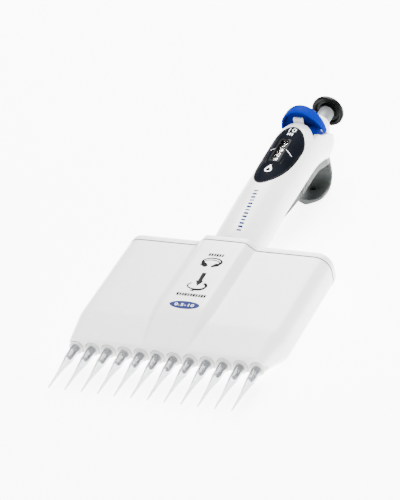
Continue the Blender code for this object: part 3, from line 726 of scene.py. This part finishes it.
def handle_front(x, y):
    """Height of the handle's front over a point (x, y)."""
    rx, rz, cz = station(y)
    return cz + rz * math.sqrt(max(1 - (x / rx) ** 2, 0.0))


def egg_outline(margin=0.0):
    """Outline of the display plate: half an ellipse above its widest line and a blunter end below."""
    steps = 36
    low, high, half = PLATE[0].y - margin, PLATE[1].y + margin, PLATE[1].x + margin
    right = []
    for i in range(steps + 1):
        s = math.cos(math.pi * i / steps)
        if s >= 0:
            right.append((half * math.sqrt(max(1 - s * s, 0)), PLATE_WIDEST_Y + s * (high - PLATE_WIDEST_Y)))
        else:
            width = half * (1 - abs(s) ** 2.4) ** 0.55
            right.append((width, PLATE_WIDEST_Y + s * (PLATE_WIDEST_Y - low)))
    return right + [(-x, y) for x, y in reversed(right[1:-1])]


def slot_outline(margin=0.0, radius=0.9):
    """Outline of the counter's window."""
    low, high = SLOT_Y
    half = SLOT_HALF + margin
    corners = [(-half, low - margin), (half, low - margin), (half, high + margin), (-half, high + margin)]
    return rounded(corners, radius)


def handle_shell():
    shell = handle_body()
    cut(shell, handle_body(-WALL, 85.0, 200.0))
    cut(shell, prism(rounded(OPENING_SIDE, 0.7), -30.0, 30.0, "x"))
    recess = prism(egg_outline(0.12), 5.0, 30.0)
    cut(recess, handle_body(-PLATE_DEPTH - 0.1, 100.0, 190.0))
    cut(shell, recess)
    cut(shell, prism(slot_outline(0.6), 8.0, 30.0))
    soften(shell, 0.3, 45.0, 3)
    piece(shell, "handle_moulding", GRIP, "handle", "white_plastic", "handle_shell")


def band_on_handle(outer, inner, low, high):
    """A closed band between two outlines, lying on the handle's front."""
    rings = []
    for outline, grow in ((outer, low), (outer, high), (inner, high), (inner, low)):
        rings.append([(x, y, handle_front(x, y) + grow) for x, y in outline])
    return loft(rings, closed=True)


def display():
    """Display plate with its border, and the window with the dark line round it."""
    plate = prism(egg_outline(), 5.0, 30.0)
    keep(plate, handle_body(0.0, 100.0, 190.0))
    cut(plate, handle_body(-PLATE_DEPTH, 99.0, 191.0))
    cut(plate, prism(slot_outline(), 8.0, 30.0))
    soften(plate, 0.12, 50.0)
    piece(plate, "display_face", NAVY, "handle", "navy_label", "display_plate")
    border = band_on_handle(egg_outline(-0.05), egg_outline(-0.75), -0.15, 0.1)
    piece(soften(border, 0.06), "display_border", BLACK, "handle", "navy_label")
    surround = band_on_handle(slot_outline(0.5, 1.2), slot_outline(-0.5), -0.15, 0.07)
    piece(soften(surround, 0.05), "window_surround", BLACK, "handle", "navy_label")
    lens = prism(slot_outline(-0.3), 8.0, 30.0)
    keep(lens, handle_body(-0.1, 100.0, 190.0))
    cut(lens, handle_body(-PLATE_DEPTH, 99.0, 191.0))
    piece(lens, "window", WINDOW, "handle", "clear_window", "display_lens")


def numerals(text, size):
    """Numerals as a bmesh in x-y, 1 thick about z = 0 and centred. Size is near their height."""
    curve = bpy.data.curves.new("numerals", "FONT")
    curve.body = text
    curve.size = size * 1.37
    curve.space_character = 1.12
    curve.extrude = 0.5
    curve.resolution_u = 4
    curve.align_x = "CENTER"
    obj = bpy.data.objects.new("numerals", curve)
    bpy.context.scene.collection.objects.link(obj)
    bpy.context.view_layer.update()
    mesh = bpy.data.meshes.new_from_object(obj.evaluated_get(bpy.context.evaluated_depsgraph_get()))
    bpy.data.objects.remove(obj, do_unlink=True)
    bm = bmesh.new()
    bm.from_mesh(mesh)
    bmesh.ops.remove_doubles(bm, verts=bm.verts, dist=1e-4)
    bmesh.ops.translate(bm, verts=bm.verts, vec=(0, -size / 2, 0))
    fine(bm, 0.5)
    return bm


def fine(bm, longest):
    """Splits long edges, so that the mesh can bend."""
    bmesh.ops.triangulate(bm, faces=bm.faces)
    for _ in range(3):
        long_edges = [e for e in bm.edges if e.calc_length() > longest]
        if not long_edges:
            break
        bmesh.ops.subdivide_edges(bm, edges=long_edges, cuts=1)
        bmesh.ops.triangulate(bm, faces=bm.faces)


def on_handle(bm, x, y, turn=0.0):
    """Lays flat print on the handle's front, round (x, y)."""
    thick, sink = 0.05, 0.03
    c, s = math.cos(turn), math.sin(turn)
    for v in bm.verts:
        a, b = v.co.x, v.co.y
        px, py = x + a * c - b * s, y + a * s + b * c
        v.co = (px, py, handle_front(px, py) - sink + (v.co.z + 0.5) * (thick + sink))
    return bm


def flat_shape(outline):
    """A flat outline as a bmesh 1 thick about z = 0."""
    bm = bmesh.new()
    skin(bm, [[(a, b, level) for a, b in outline] for level in (-0.5, 0.5)])
    return bm


def oblong(width, height, radius=0.25):
    """A rectangle with round corners, centred."""
    a, b = width / 2, height / 2
    return rounded([(-a, -b), (a, -b), (a, b), (-a, b)], radius, 3)


def counter_mask():
    """Thin plate over the wheels, with the slot that shows one numeral of each."""
    low = WHEEL_FIRST_Y - 0.2
    high = WHEEL_FIRST_Y + 3 * WHEEL_PITCH + WHEEL_WIDTH + 0.2
    level = SHAFT_Z + WHEEL_RADIUS + 0.2
    mask = block((-MASK_HALF, MASK_HALF), (low - 1.5, high + 1.5), (level, level + 0.25))
    cut(mask, block((-MASK_SLOT, MASK_SLOT), (low + 0.5, high - 0.5), (level - 1, level + 1)))
    piece(mask, "counter_mask", BLACK, "handle", "navy_label")


def counter_wheels():
    """Numeral wheels, each turned to the digit it reads at rest; the first has the pinion at its side."""
    for number in range(1, WHEELS + 1):
        node = f"counter_wheel_{number}"
        body = ("hundredths_wheel", "tenths_wheel", "ones_wheel", "tens_wheel")[number - 1]
        low = WHEEL_FIRST_Y + (number - 1) * WHEEL_PITCH
        middle = low + WHEEL_WIDTH / 2
        wheel = rod(WHEEL_RADIUS, low, low + WHEEL_WIDTH, 80, ((0, SHAFT_Z),), 0.2)
        if number == 1:
            add(wheel, gear(PINION_TEETH, GEAR_Y, low + 1, -math.pi / 2, SHAFT_Z))
        cut(wheel, rod(WHEEL_BORE, low - 6, low + 6, 32, ((0, SHAFT_Z),)))
        piece(wheel, f"wheel_{number}", WHEEL_BLACK, body, "counter_wheel", node)
        joined = bmesh.new()
        for digit in range(10):
            start = 2 * math.pi / 10 * (digit - READING[number - 1])
            bm = numerals(str(digit), DIGIT_SIZE)
            for v in bm.verts:
                a = start + v.co.x / WHEEL_RADIUS
                r = WHEEL_RADIUS - 0.05 + (v.co.z + 0.5) * 0.12
                v.co = (r * math.sin(a), middle + v.co.y, SHAFT_Z + r * math.cos(a))
            mesh = bpy.data.meshes.new("digit")
            bm.to_mesh(mesh)
            bm.free()
            joined.from_mesh(mesh)
        piece(shape(joined), f"wheel_{number}_numerals", INK_WHITE, body, "counter_wheel")


def gear(teeth, low, high, phase, z=0.0):
    """Spur gear with rounded flanks."""
    pitch_radius = MODULE * teeth / 2
    heights = (-0.6, -0.25, 0.1, 0.35, 0.35, 0.1, -0.25, -0.6)
    widths = (-0.40, -0.33, -0.22, -0.11, 0.11, 0.22, 0.33, 0.40)
    outline = []
    for tooth in range(teeth):
        for height, width in zip(heights, widths):
            a = phase + 2 * math.pi * tooth / teeth + width / pitch_radius
            outline.append(((pitch_radius + height) * math.cos(a), (pitch_radius + height) * math.sin(a)))
    return loft([[(a, level, z + b) for a, b in outline] for level in (low, high)])


def dial_sleeve():
    top = span("dial_sleeve")[1].y
    low = GEAR_Y + 0.3
    sleeve = rod(DIAL_RADIUS, low, top, 56, edge=0.3)
    add(sleeve, gear(DIAL_TEETH, low, low + 3.0, math.pi / 2 + math.pi / DIAL_TEETH))
    cut(sleeve, rod(DIAL_BORE, low - 5.0, top + 5.0, 56))
    piece(sleeve, "dial_tube", SATIN, "dial", "stem_plastic", "dial_sleeve")


def top_cap():
    """Cover at the back of the handle's open end, with the cone round the plunger's stem."""
    low, high = COVER_Y
    cap = handle_body(-WALL - 0.3, low, high)
    keep(cap, block((-15.0, 15.0), (low - 1, high + 1), (-20.0, 3.5)))
    cone = ((7.6, low), (9.4, high), (8.9, high + 1.5), (6.5, 207.0), (5.9, 208.0))
    add(cap, spindle(cone, 64, 0.6))
    cut(cap, rod(STEM_BORE, low - 1, 210.0, 56))
    soften(cap, 0.25, 45.0)
    piece(cap, "cone_cover", GRIP, "handle", "white_plastic", "top_cap")


def plunger():
    low, high = STEM
    profile = [(3.5, low.y), (STEM_RADIUS, low.y + 0.4), (STEM_RADIUS, GROOVE_Y[0] - 0.3)]
    profile += [(GROOVE_RADIUS, y) for y in GROOVE_Y]
    profile += [(STEM_RADIUS, GROOVE_Y[1] + 0.3), (STEM_RADIUS, high.y)]
    stem = spindle(profile, 56, 0.3)
    piece(stem, "stem", SATIN, "plunger", "stem_plastic", "plunger_stem")
    low, high, radius = BUTTON[0].y, BUTTON[1].y, BUTTON[1].x
    profile = [(4.5, low), (4.9, low + 1.7), (radius - 2.7, low + 1.7), (radius - 1.9, low + 0.3)]
    profile += [(radius - 1.3, low), (radius - 0.5, low), (radius, low + 0.5), (radius, high - 1.1)]
    profile += [(radius - 0.35, high - 0.35), (radius - 1.1, high), (radius - 2.2, high - 0.25)]
    profile += [(radius - 5.0, high - 0.7), (1.2, high - 0.9)]
    button = spindle(profile, 96, 0.35)
    piece(button, "thumb_button", DARK, "plunger", "dark_plastic", "plunger_button")


# ---------------------------------------------------------------- ejector key


def visor_ring(y, margin=0.0, rise=0.0):
    """Half ellipse round the front at a height, whose two ends rise."""
    steps = 56
    ring = []
    for i in range(steps + 1):
        a = math.pi * i / steps
        level = y + rise * (1 - math.sin(a))
        depth = VISOR_FRONT_Z - VISOR_CENTRE_Z - margin
        ring.append(((VISOR_HALF - margin) * math.cos(a), level, VISOR_CENTRE_Z + depth * math.sin(a)))
    return ring


def ejector_key():
    low, high = VISOR_Y
    levels = [(low, 0.45, VISOR_RISE), (low + 0.15, 0.12, VISOR_RISE), (low + 0.5, 0.0, VISOR_RISE)]
    levels.append((low + 2.5, 0.0, 0.6 * VISOR_RISE))
    for i in range(7):
        a = math.radians(15 * i)
        levels.append((high - 2.6 + 2.6 * math.sin(a), 2.6 * (1 - math.cos(a)), 0.0))
    key = loft([visor_ring(*level) for level in levels])
    hollow = [(low - 3.0, VISOR_WALL), (VISOR_PLATE_Y - 1.4, VISOR_WALL)]
    hollow += [(VISOR_PLATE_Y - 0.4, VISOR_WALL + 0.5), (VISOR_PLATE_Y, VISOR_WALL + 1.4)]
    cut(key, loft([visor_ring(y, margin) for y, margin in hollow]))
    keep(key, block((-20.0, 20.0), (170.0, 200.0), (VISOR_END_Z, 40.0)))
    add(key, rod(KEY_RADIUS, VISOR_PLATE_Y, high - 0.2, 48))
    add(key, block((-7.4, 7.4), (VISOR_PLATE_Y, high - 0.2), (0.0, VISOR_END_Z + 1)))
    for side in (-1, 1):
        add(key, block(sorted((side * 8.9, side * 9.9)), (CARRIER_Y[0], 190.0), (-1.0, 4.0)))
    inside = -WALL - 0.3
    low, high = SKIRT_Y
    skirt = handle_body(inside, low, high)
    keep(skirt, handle_body(inside, 168.0, 188.0, EJECTOR_TRAVEL))
    cut(skirt, handle_body(inside - SKIRT_WALL, low - 1, high + 1))
    keep(skirt, block((-15.0, 15.0), (170.0, 195.0), (2.0, 30.0)))
    cut(skirt, block((-4.8, 4.8), (170.0, 191.2), (5.0, 30.0)))
    add(key, skirt)
    add(key, rod(CARRIER_RADIUS, *CARRIER_Y, 48))
    cut(key, rod(STEM_BORE, CARRIER_Y[1] + 3, 205.0, 48))
    add(key, rod(TUBE_RADIUS, KEY[0].y, CARRIER_Y[1], 40))
    cut(key, rod(TUBE_BORE, KEY[0].y - 1, CARRIER_Y[1] + 1, 40))
    soften(key, 0.3, 50.0)
    piece(key, "ejector_visor", BLUE, "ejector_key", "blue_plastic", "ejector_key")


def volume_lock():
    nub = block((-2.6, 2.6), (BROW_Y + 0.3, 185.5), (12.7, 19.2))
    for x in (-1.3, 0.0, 1.3):
        groove = block((x - 0.2, x + 0.2), (BROW_Y, 186.0), (18.95, 20.0))
        cut(nub, groove)
    soften(nub, 0.45, 50.0, 3)
    add(nub, block((-2.6, 2.6), (180.5, 185.0), (12.7, 13.5)))
    piece(nub, "lock_nub", NUB, "volume_lock", "stem_plastic", "volume_lock")


# ---------------------------------------------------------------- finger rest


def hook_section(centre, direction, half):
    """Section of the hook, flat inside and crowned outside, with round edges."""
    y, z = centre
    out_y, out_z = -direction[1], direction[0]
    ring = []
    outline = []
    for i in range(17):
        x = -1 + 2 * i / 16
        outline.append((x, HOOK_THICKNESS / 2 - 1.1 * x * x - 0.25 * abs(x) ** 8))
    outline += [(1.0, -0.9), (0.985, -1.3), (0.955, -1.47)]
    outline += [(x, -HOOK_THICKNESS / 2) for x in (0.9, 0.5, 0.0, -0.5, -0.9)]
    outline += [(-0.955, -1.47), (-0.985, -1.3), (-1.0, -0.9)]
    for x, height in outline:
        ring.append((x * half, y + height * out_y, z + height * out_z))
    return ring


def finger_rest():
    """Strip along the handle's back that runs into a hook, with an eyelet and a flat seat over the hook."""
    cy, cz = HOOK_CENTRE
    rings = [hook_section((cy + HOOK_RADIUS, z), (0.0, -1.0), HOOK_HALF) for z in (-10.0, -14.0, -18.0, cz)]
    sweep = math.pi / 2 + TILT
    for i in range(1, 25):
        a = -sweep * i / 24
        place = (cy + HOOK_RADIUS * math.cos(a), cz + HOOK_RADIUS * math.sin(a))
        rings.append(hook_section(place, (math.sin(a), -math.cos(a)), HOOK_HALF))
    direction = (-math.cos(TILT), math.sin(TILT))
    length = (place[0] - HOOK_END_Y) / math.cos(TILT)
    for s in (0.15, 0.3, 0.45, 0.6, 0.7, 0.8, 0.87, 0.93, 0.97, 0.99, 1.0):
        middle = (place[0] + s * length * direction[0], place[1] + s * length * direction[1])
        rings.append(hook_section(middle, direction, HOOK_HALF * math.sqrt(1 - 0.9 * s ** 4)))
    rest = loft(rings)
    cut(rest, handle_body(0.3, 100.0, 199.0))
    strip = handle_body(2.2, 124.0, 198.9)
    right = [(4.5, 128.0), (7.5, 140.0), (STRIP_HALF, 154.0), (STRIP_HALF, 188.5), (HOOK_HALF, 197.5)]
    outline = right + [(-x, y) for x, y in reversed(right)]
    keep(strip, prism(rounded(outline, 1.6), -30.0, 0.0))
    cut(strip, handle_body(0.3, 119.0, 200.0))
    for i in range(5):
        for side in (-1, 1):
            y = 151.0 + 2.2 * i
            cut(strip, block(sorted((side * (STRIP_HALF - 0.7), side * 12.0)), (y, y + 0.7), (-18.0, -3.0)))
    add(rest, strip)
    add(rest, block((-7.0, 7.0), (SEAT_Y, SEAT_Y + 1.4), (-20.9, -18.9)))
    boss = turned(((1.7, 0.0), (2.7, 0.0), (2.7, 3.0), (1.7, 3.0)), 40, radius=0.3)
    boss.data.transform(Matrix.Translation((0, EYELET_Y, -28.0)) @ Matrix.Rotation(math.radians(-90), 4, "X"))
    add(rest, boss)
    hole = rod(1.9, -8.0, 2.0, 40)
    hole.data.transform(Matrix.Translation((0, EYELET_Y, -27.0)) @ Matrix.Rotation(math.radians(90), 4, "X"))
    cut(rest, hole)
    socket = rod(1.6, 4.0, 22.0, 32)
    socket.data.transform(Matrix.Translation((0, 140.0, 0)) @ Matrix.Rotation(math.radians(-90), 4, "X"))
    cut(rest, socket)
    soften(rest, 0.3, 50.0)
    piece(rest, "finger_hook", GREY, "handle", "grey_plastic", "finger_rest")
    # A black disc inside the eyelet's hole: painted shade that darkens the hole
    eyelet_shade = rod(1.85, -0.5, 0.5, 40, edge=0.15)
    eyelet_shade.data.transform(Matrix.Translation((0, EYELET_Y, -30.0)) @ Matrix.Rotation(math.radians(90), 4, "X"))
    piece(eyelet_shade, "eyelet_painted_shade", BLACK, "handle", "grey_plastic")


# ---------------------------------------------------------------- print


def arc_band(cx, cy, a, b, start, end, width):
    """A flat band along part of an ellipse. Width is a function of the share of the way along."""
    outer, inner = [], []
    steps = 40
    for i in range(steps + 1):
        s = i / steps
        t = math.radians(start + (end - start) * s)
        w = width(s) / 2
        outer.append((cx + (a + w) * math.cos(t), cy + (b + w) * math.sin(t)))
        inner.append((cx + (a - w) * math.cos(t), cy + (b - w) * math.sin(t)))
    return outer + inner[::-1]


def spine_print(outlines, name, mat):
    """Flat outlines as one print on the spine."""
    bm = bmesh.new()
    for outline in outlines:
        skin(bm, [[(x, y, z) for x, y in outline] for z in (SPINE_FRONT - 0.05, SPINE_FRONT + 0.04)])
    piece(shape(bm), name, mat, "manifold", "white_plastic")


def dashes(x0, x1, y, count, height):
    """A row of short bars, every third one wider."""
    pitch = (x1 - x0) / count
    outlines = []
    for i in range(count):
        wide = pitch * (0.72 if i % 3 else 0.88)
        middle = x0 + pitch * (i + 0.5)
        outlines.append([(middle + a, y + b) for a, b in oblong(wide, height, 0.15)])
    return outlines


BADGE = (1.0, 26.9)


def spine_marks():
    """Arrow pictograms, dashes where words would be, and the oval badge with the range."""
    ends = lambda s: 1.0 + 2.2 * max(0.0, abs(2 * s - 1) - 0.45)
    thin = lambda s: 0.7
    marks = dashes(-3.6, 5.0, 68.6, 6, 2.3)
    marks.append(arc_band(0.8, 62.9, 5.1, 2.9, -62, 242, ends))
    marks.append(arc_band(0.8, 62.0, 4.3, 2.3, 5, 175, thin))
    marks.append([(-3.2, 62.4), (-5.0, 60.0), (-1.6, 57.9), (0.0, 59.6)])
    marks.append([(3.6, 62.0), (1.5, 59.4), (2.0, 58.2), (6.0, 60.0)])
    arrow = [(-0.5, 53.4), (1.9, 53.4), (2.1, 46.6), (3.2, 46.6), (1.0, 42.4), (-1.4, 46.9), (-0.2, 46.9)]
    marks.append(arrow)
    marks.append(arc_band(1.0, 42.6, 5.0, 2.8, 135, 415, lambda s: 0.8 + 0.9 * s * s))
    marks.append(arc_band(1.6, 41.6, 4.4, 2.6, 250, 350, thin))
    marks.append([(0.6, 39.7), (-1.6, 38.4), (1.0, 37.9)])
    marks += dashes(-7.0, 9.4, 34.9, 11, 2.3)
    spine_print(marks, "spine_pictograms", INK_BLACK)
    turn = np.linspace(0, 2 * math.pi, 64, False)
    oval = [(BADGE[0] + 8.2 * math.cos(t), BADGE[1] + 2.8 * math.sin(t)) for t in turn]
    bm = bmesh.new()
    skin(bm, [[(x, y, spine_height(y) + z) for x, y in oval] for z in (-0.06, 0.05)])
    piece(shape(bm), "range_badge", INK_BLUE, "manifold", "blue_plastic")
    bm = numerals("0.5-10", 1.9)
    for v in bm.verts:
        x, y = BADGE[0] + v.co.x * 1.45, BADGE[1] + v.co.y
        v.co = (x, y, spine_height(y) + 0.02 + (v.co.z + 0.5) * 0.07)
    piece(shape(bm), "range_numerals", INK_WHITE, "manifold", "white_plastic")


def spine_height(y):
    """Height of the spine's flat front at a level."""
    s = soft_ramp(y / WAIST_Y, 0.05)
    ramp = soft_ramp(y / SPINE_RAMP_Y, 0.06)
    front = MOUTH_FRONT + s * (CASE_FRONT - MOUTH_FRONT)
    return front + 0.05 + ramp * (SPINE_FRONT - CASE_FRONT - 0.05)


def handle_marks():
    """Blue dashes up the handle, and the white marks of the display."""
    line = bmesh.new()
    count = 13
    for i in range(count):
        y = 91.2 + (122.0 - 91.2) * i / (count - 1)
        x = 3.6 - 2.6 * i / (count - 1)
        bm = flat_shape(oblong(2.3, 1.45 if i % 3 else 1.0, 0.3))
        fine(bm, 0.8)
        join(line, on_handle(bm, x, y, turn=0.25))
    piece(shape(line), "handle_dashes", INK_BLUE, "handle", "blue_plastic")
    white = bmesh.new()
    join(white, on_handle(numerals("10", 3.5), 0.2, 175.4))
    for width, height, x, y, turn in (
        (0.7, 1.9, -0.7, 171.6, 0.0),
        (0.7, 1.9, 0.5, 171.6, 0.0),
        (0.6, 1.9, 1.7, 171.6, 0.0),
        (5.2, 0.3, 5.2, 157.4, -0.62),
        (2.6, 0.25, -4.6, 158.6, 0.1),
        (0.7, 0.9, 4.2, 131.6, 0.0),
    ):
        bm = flat_shape(oblong(width, height, 0.2))
        fine(bm, 0.8)
        join(white, on_handle(bm, x, y, turn=turn))
    drop = []
    for i in range(40):
        t = 2 * math.pi * i / 40
        drop.append((2.7 * math.sin(t) * math.sin(t / 2) ** 1.4, 3.3 * math.cos(t)))
    ring = [(x * 0.6, y * 0.46 - 0.9) for x, y in drop]
    bm = bmesh.new()
    levels = ((drop, -0.5), (drop, 0.5), (ring, 0.5), (ring, -0.5))
    skin(bm, [[(x, y, z) for x, y in outline] for outline, z in levels], True)
    fine(bm, 0.8)
    join(white, on_handle(bm, 0.2, 141.8))
    piece(shape(white), "display_marks", INK_WHITE, "handle", "navy_label")


def join(target, bm):
    mesh = bpy.data.meshes.new("part")
    bm.to_mesh(mesh)
    bm.free()
    target.from_mesh(mesh)


# ---------------------------------------------------------------- inside


def springs():
    """Coils as (node, body, radius, wire, turns, joint, x, share of the length left when pressed)."""
    rows = (
        ("main_spring", "handle", 3.2, 0.5, 7, "plunger_press", 0, 0.39),
        ("ejector_spring", "handle", 5.2, 0.4, 3, "ejector_press", 0, 0.375),
        ("return_spring_left", "manifold", 2.8, 0.35, 4, "piston_slide", -SCREW_X, 0.22),
        ("return_spring_right", "manifold", 2.8, 0.35, 4, "piston_slide", SCREW_X, 0.22),
    )
    for node, body, radius, wire, turns, joint, x, share in rows:
        low, high = span(node)
        obj = piece(coil(radius, wire, low.y, high.y, turns, x), f"{node}_wire", METAL, body, "steel", node)
        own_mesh(obj)


def carried_nodes():
    """CAD nodes whose shape is already right, inside the casings."""
    finishes = {
        METAL: (
            "finger_rest_screw",
            "counter_shaft",
            "guide_rod_left",
            "guide_rod_right",
            "plunger_rod",
            "piston_rack",
        ),
        SLEEVE: ("stop_ring", "counter_frame", "cone_block", "ejector_yoke"),
        GREY: ("coupling_ring",),
    }
    for mat, names in finishes.items():
        for name in names:
            mesh = frame["nodes"][name].data
            mesh.materials.clear()
            mesh.materials.append(mat)


# ---------------------------------------------------------------- studio

# Strength of the sky at the horizon and overhead, and the heights of its ramp;
# lights as (name, azimuth, elevation, distance, size, watts)
FLOOR_HALF = 6.0
FLOOR_GLOW = 6.0
SKY = (0.1, 1.4)
SKY_RAMP = (0.05, 0.6)
LIGHTS = (
    ("key", 188.0, 45.0, 1.4, 1.0, 66.0),
    ("over", 40.0, 74.0, 1.4, 0.8, 30.0),
    ("fill", -60.0, 30.0, 1.5, 0.9, 3.0),
)


def studio():
    sheet = bmesh.new()
    corners = ((-1, -1), (1, -1), (1, 1), (-1, 1))
    sheet.faces.new([sheet.verts.new((FLOOR_HALF * a, FLOOR_HALF * b, 0)) for a, b in corners])
    floor = shape(sheet)
    floor.name = "studio_floor"
    floor.location.z = cad_bounds[0][2] - 0.0002
    paper = plastic("pale_floor", (0.93, 0.93, 0.93), 0.6, 0.005, 300.0)
    shader = paper.node_tree.nodes["Principled BSDF"]
    shader.inputs["Emission Strength"].default_value = FLOOR_GLOW
    shader.inputs["Emission Color"].default_value = (1, 1, 1, 1)
    floor.data.materials.append(paper)
    world = bpy.data.worlds.new("studio")
    world.use_nodes = True
    nodes = world.node_tree.nodes
    place = nodes.new("ShaderNodeTexCoord")
    split = nodes.new("ShaderNodeSeparateXYZ")
    rise = nodes.new("ShaderNodeMapRange")
    for end, height, strength in zip(("Min", "Max"), SKY_RAMP, SKY):
        rise.inputs[f"From {end}"].default_value = height
        rise.inputs[f"To {end}"].default_value = strength
    world.node_tree.links.new(place.outputs["Generated"], split.inputs["Vector"])
    world.node_tree.links.new(split.outputs["Z"], rise.inputs["Value"])
    world.node_tree.links.new(rise.outputs["Result"], nodes["Background"].inputs["Strength"])
    nodes["Background"].inputs["Color"].default_value = (1, 1, 1, 1)
    bpy.context.scene.world = world
    centre = PLACE @ (Vector((0, 90.0, 0)) * MM)
    for name, azimuth, elevation, distance, size, power in LIGHTS:
        light = bpy.data.lights.new(name, "AREA")
        light.size = size
        light.energy = power
        obj = bpy.data.objects.new(name, light)
        bpy.context.scene.collection.objects.link(obj)
        away = direction(azimuth, elevation)
        obj.location = centre + away * distance
        obj.rotation_euler = away.to_track_quat("Z", "Y").to_euler()


def direction(azimuth, elevation):
    """Unit vector from the object: azimuth 0 is towards -y, growing towards +x, in degrees."""
    a, e = math.radians(azimuth), math.radians(elevation)
    return Vector((math.sin(a) * math.cos(e), -math.cos(a) * math.cos(e), math.sin(e)))


CAMERA_AIM = (10.3, 37.5, 39.8)
CAMERA_AZIMUTH = 28.56
CAMERA_ELEVATION = 28.45
CAMERA_ROLL = -8.69
CAMERA_DISTANCE = 1.4726
CAMERA_LENS = 216.0


def camera():
    data = bpy.data.cameras.new("camera")
    data.lens = CAMERA_LENS
    obj = bpy.data.objects.new("camera", data)
    bpy.context.scene.collection.objects.link(obj)
    away = direction(CAMERA_AZIMUTH, CAMERA_ELEVATION)
    obj.location = PLACE @ (Vector(CAMERA_AIM) * MM) + away * CAMERA_DISTANCE
    turn = away.to_track_quat("Z", "Y") @ Quaternion((0, 0, 1), math.radians(CAMERA_ROLL))
    obj.rotation_euler = turn.to_euler()
    bpy.context.scene.camera = obj


camera()
studio()
manifold_casing()
manifold_cap()
lid_seal()
cap_screws()
nose_cones()
tips()
ejector_sleeves()
handle_shell()
display()
counter_mask()
counter_wheels()
dial_sleeve()
top_cap()
plunger()
ejector_key()
volume_lock()
finger_rest()
spine_marks()
handle_marks()
springs()
carried_nodes()
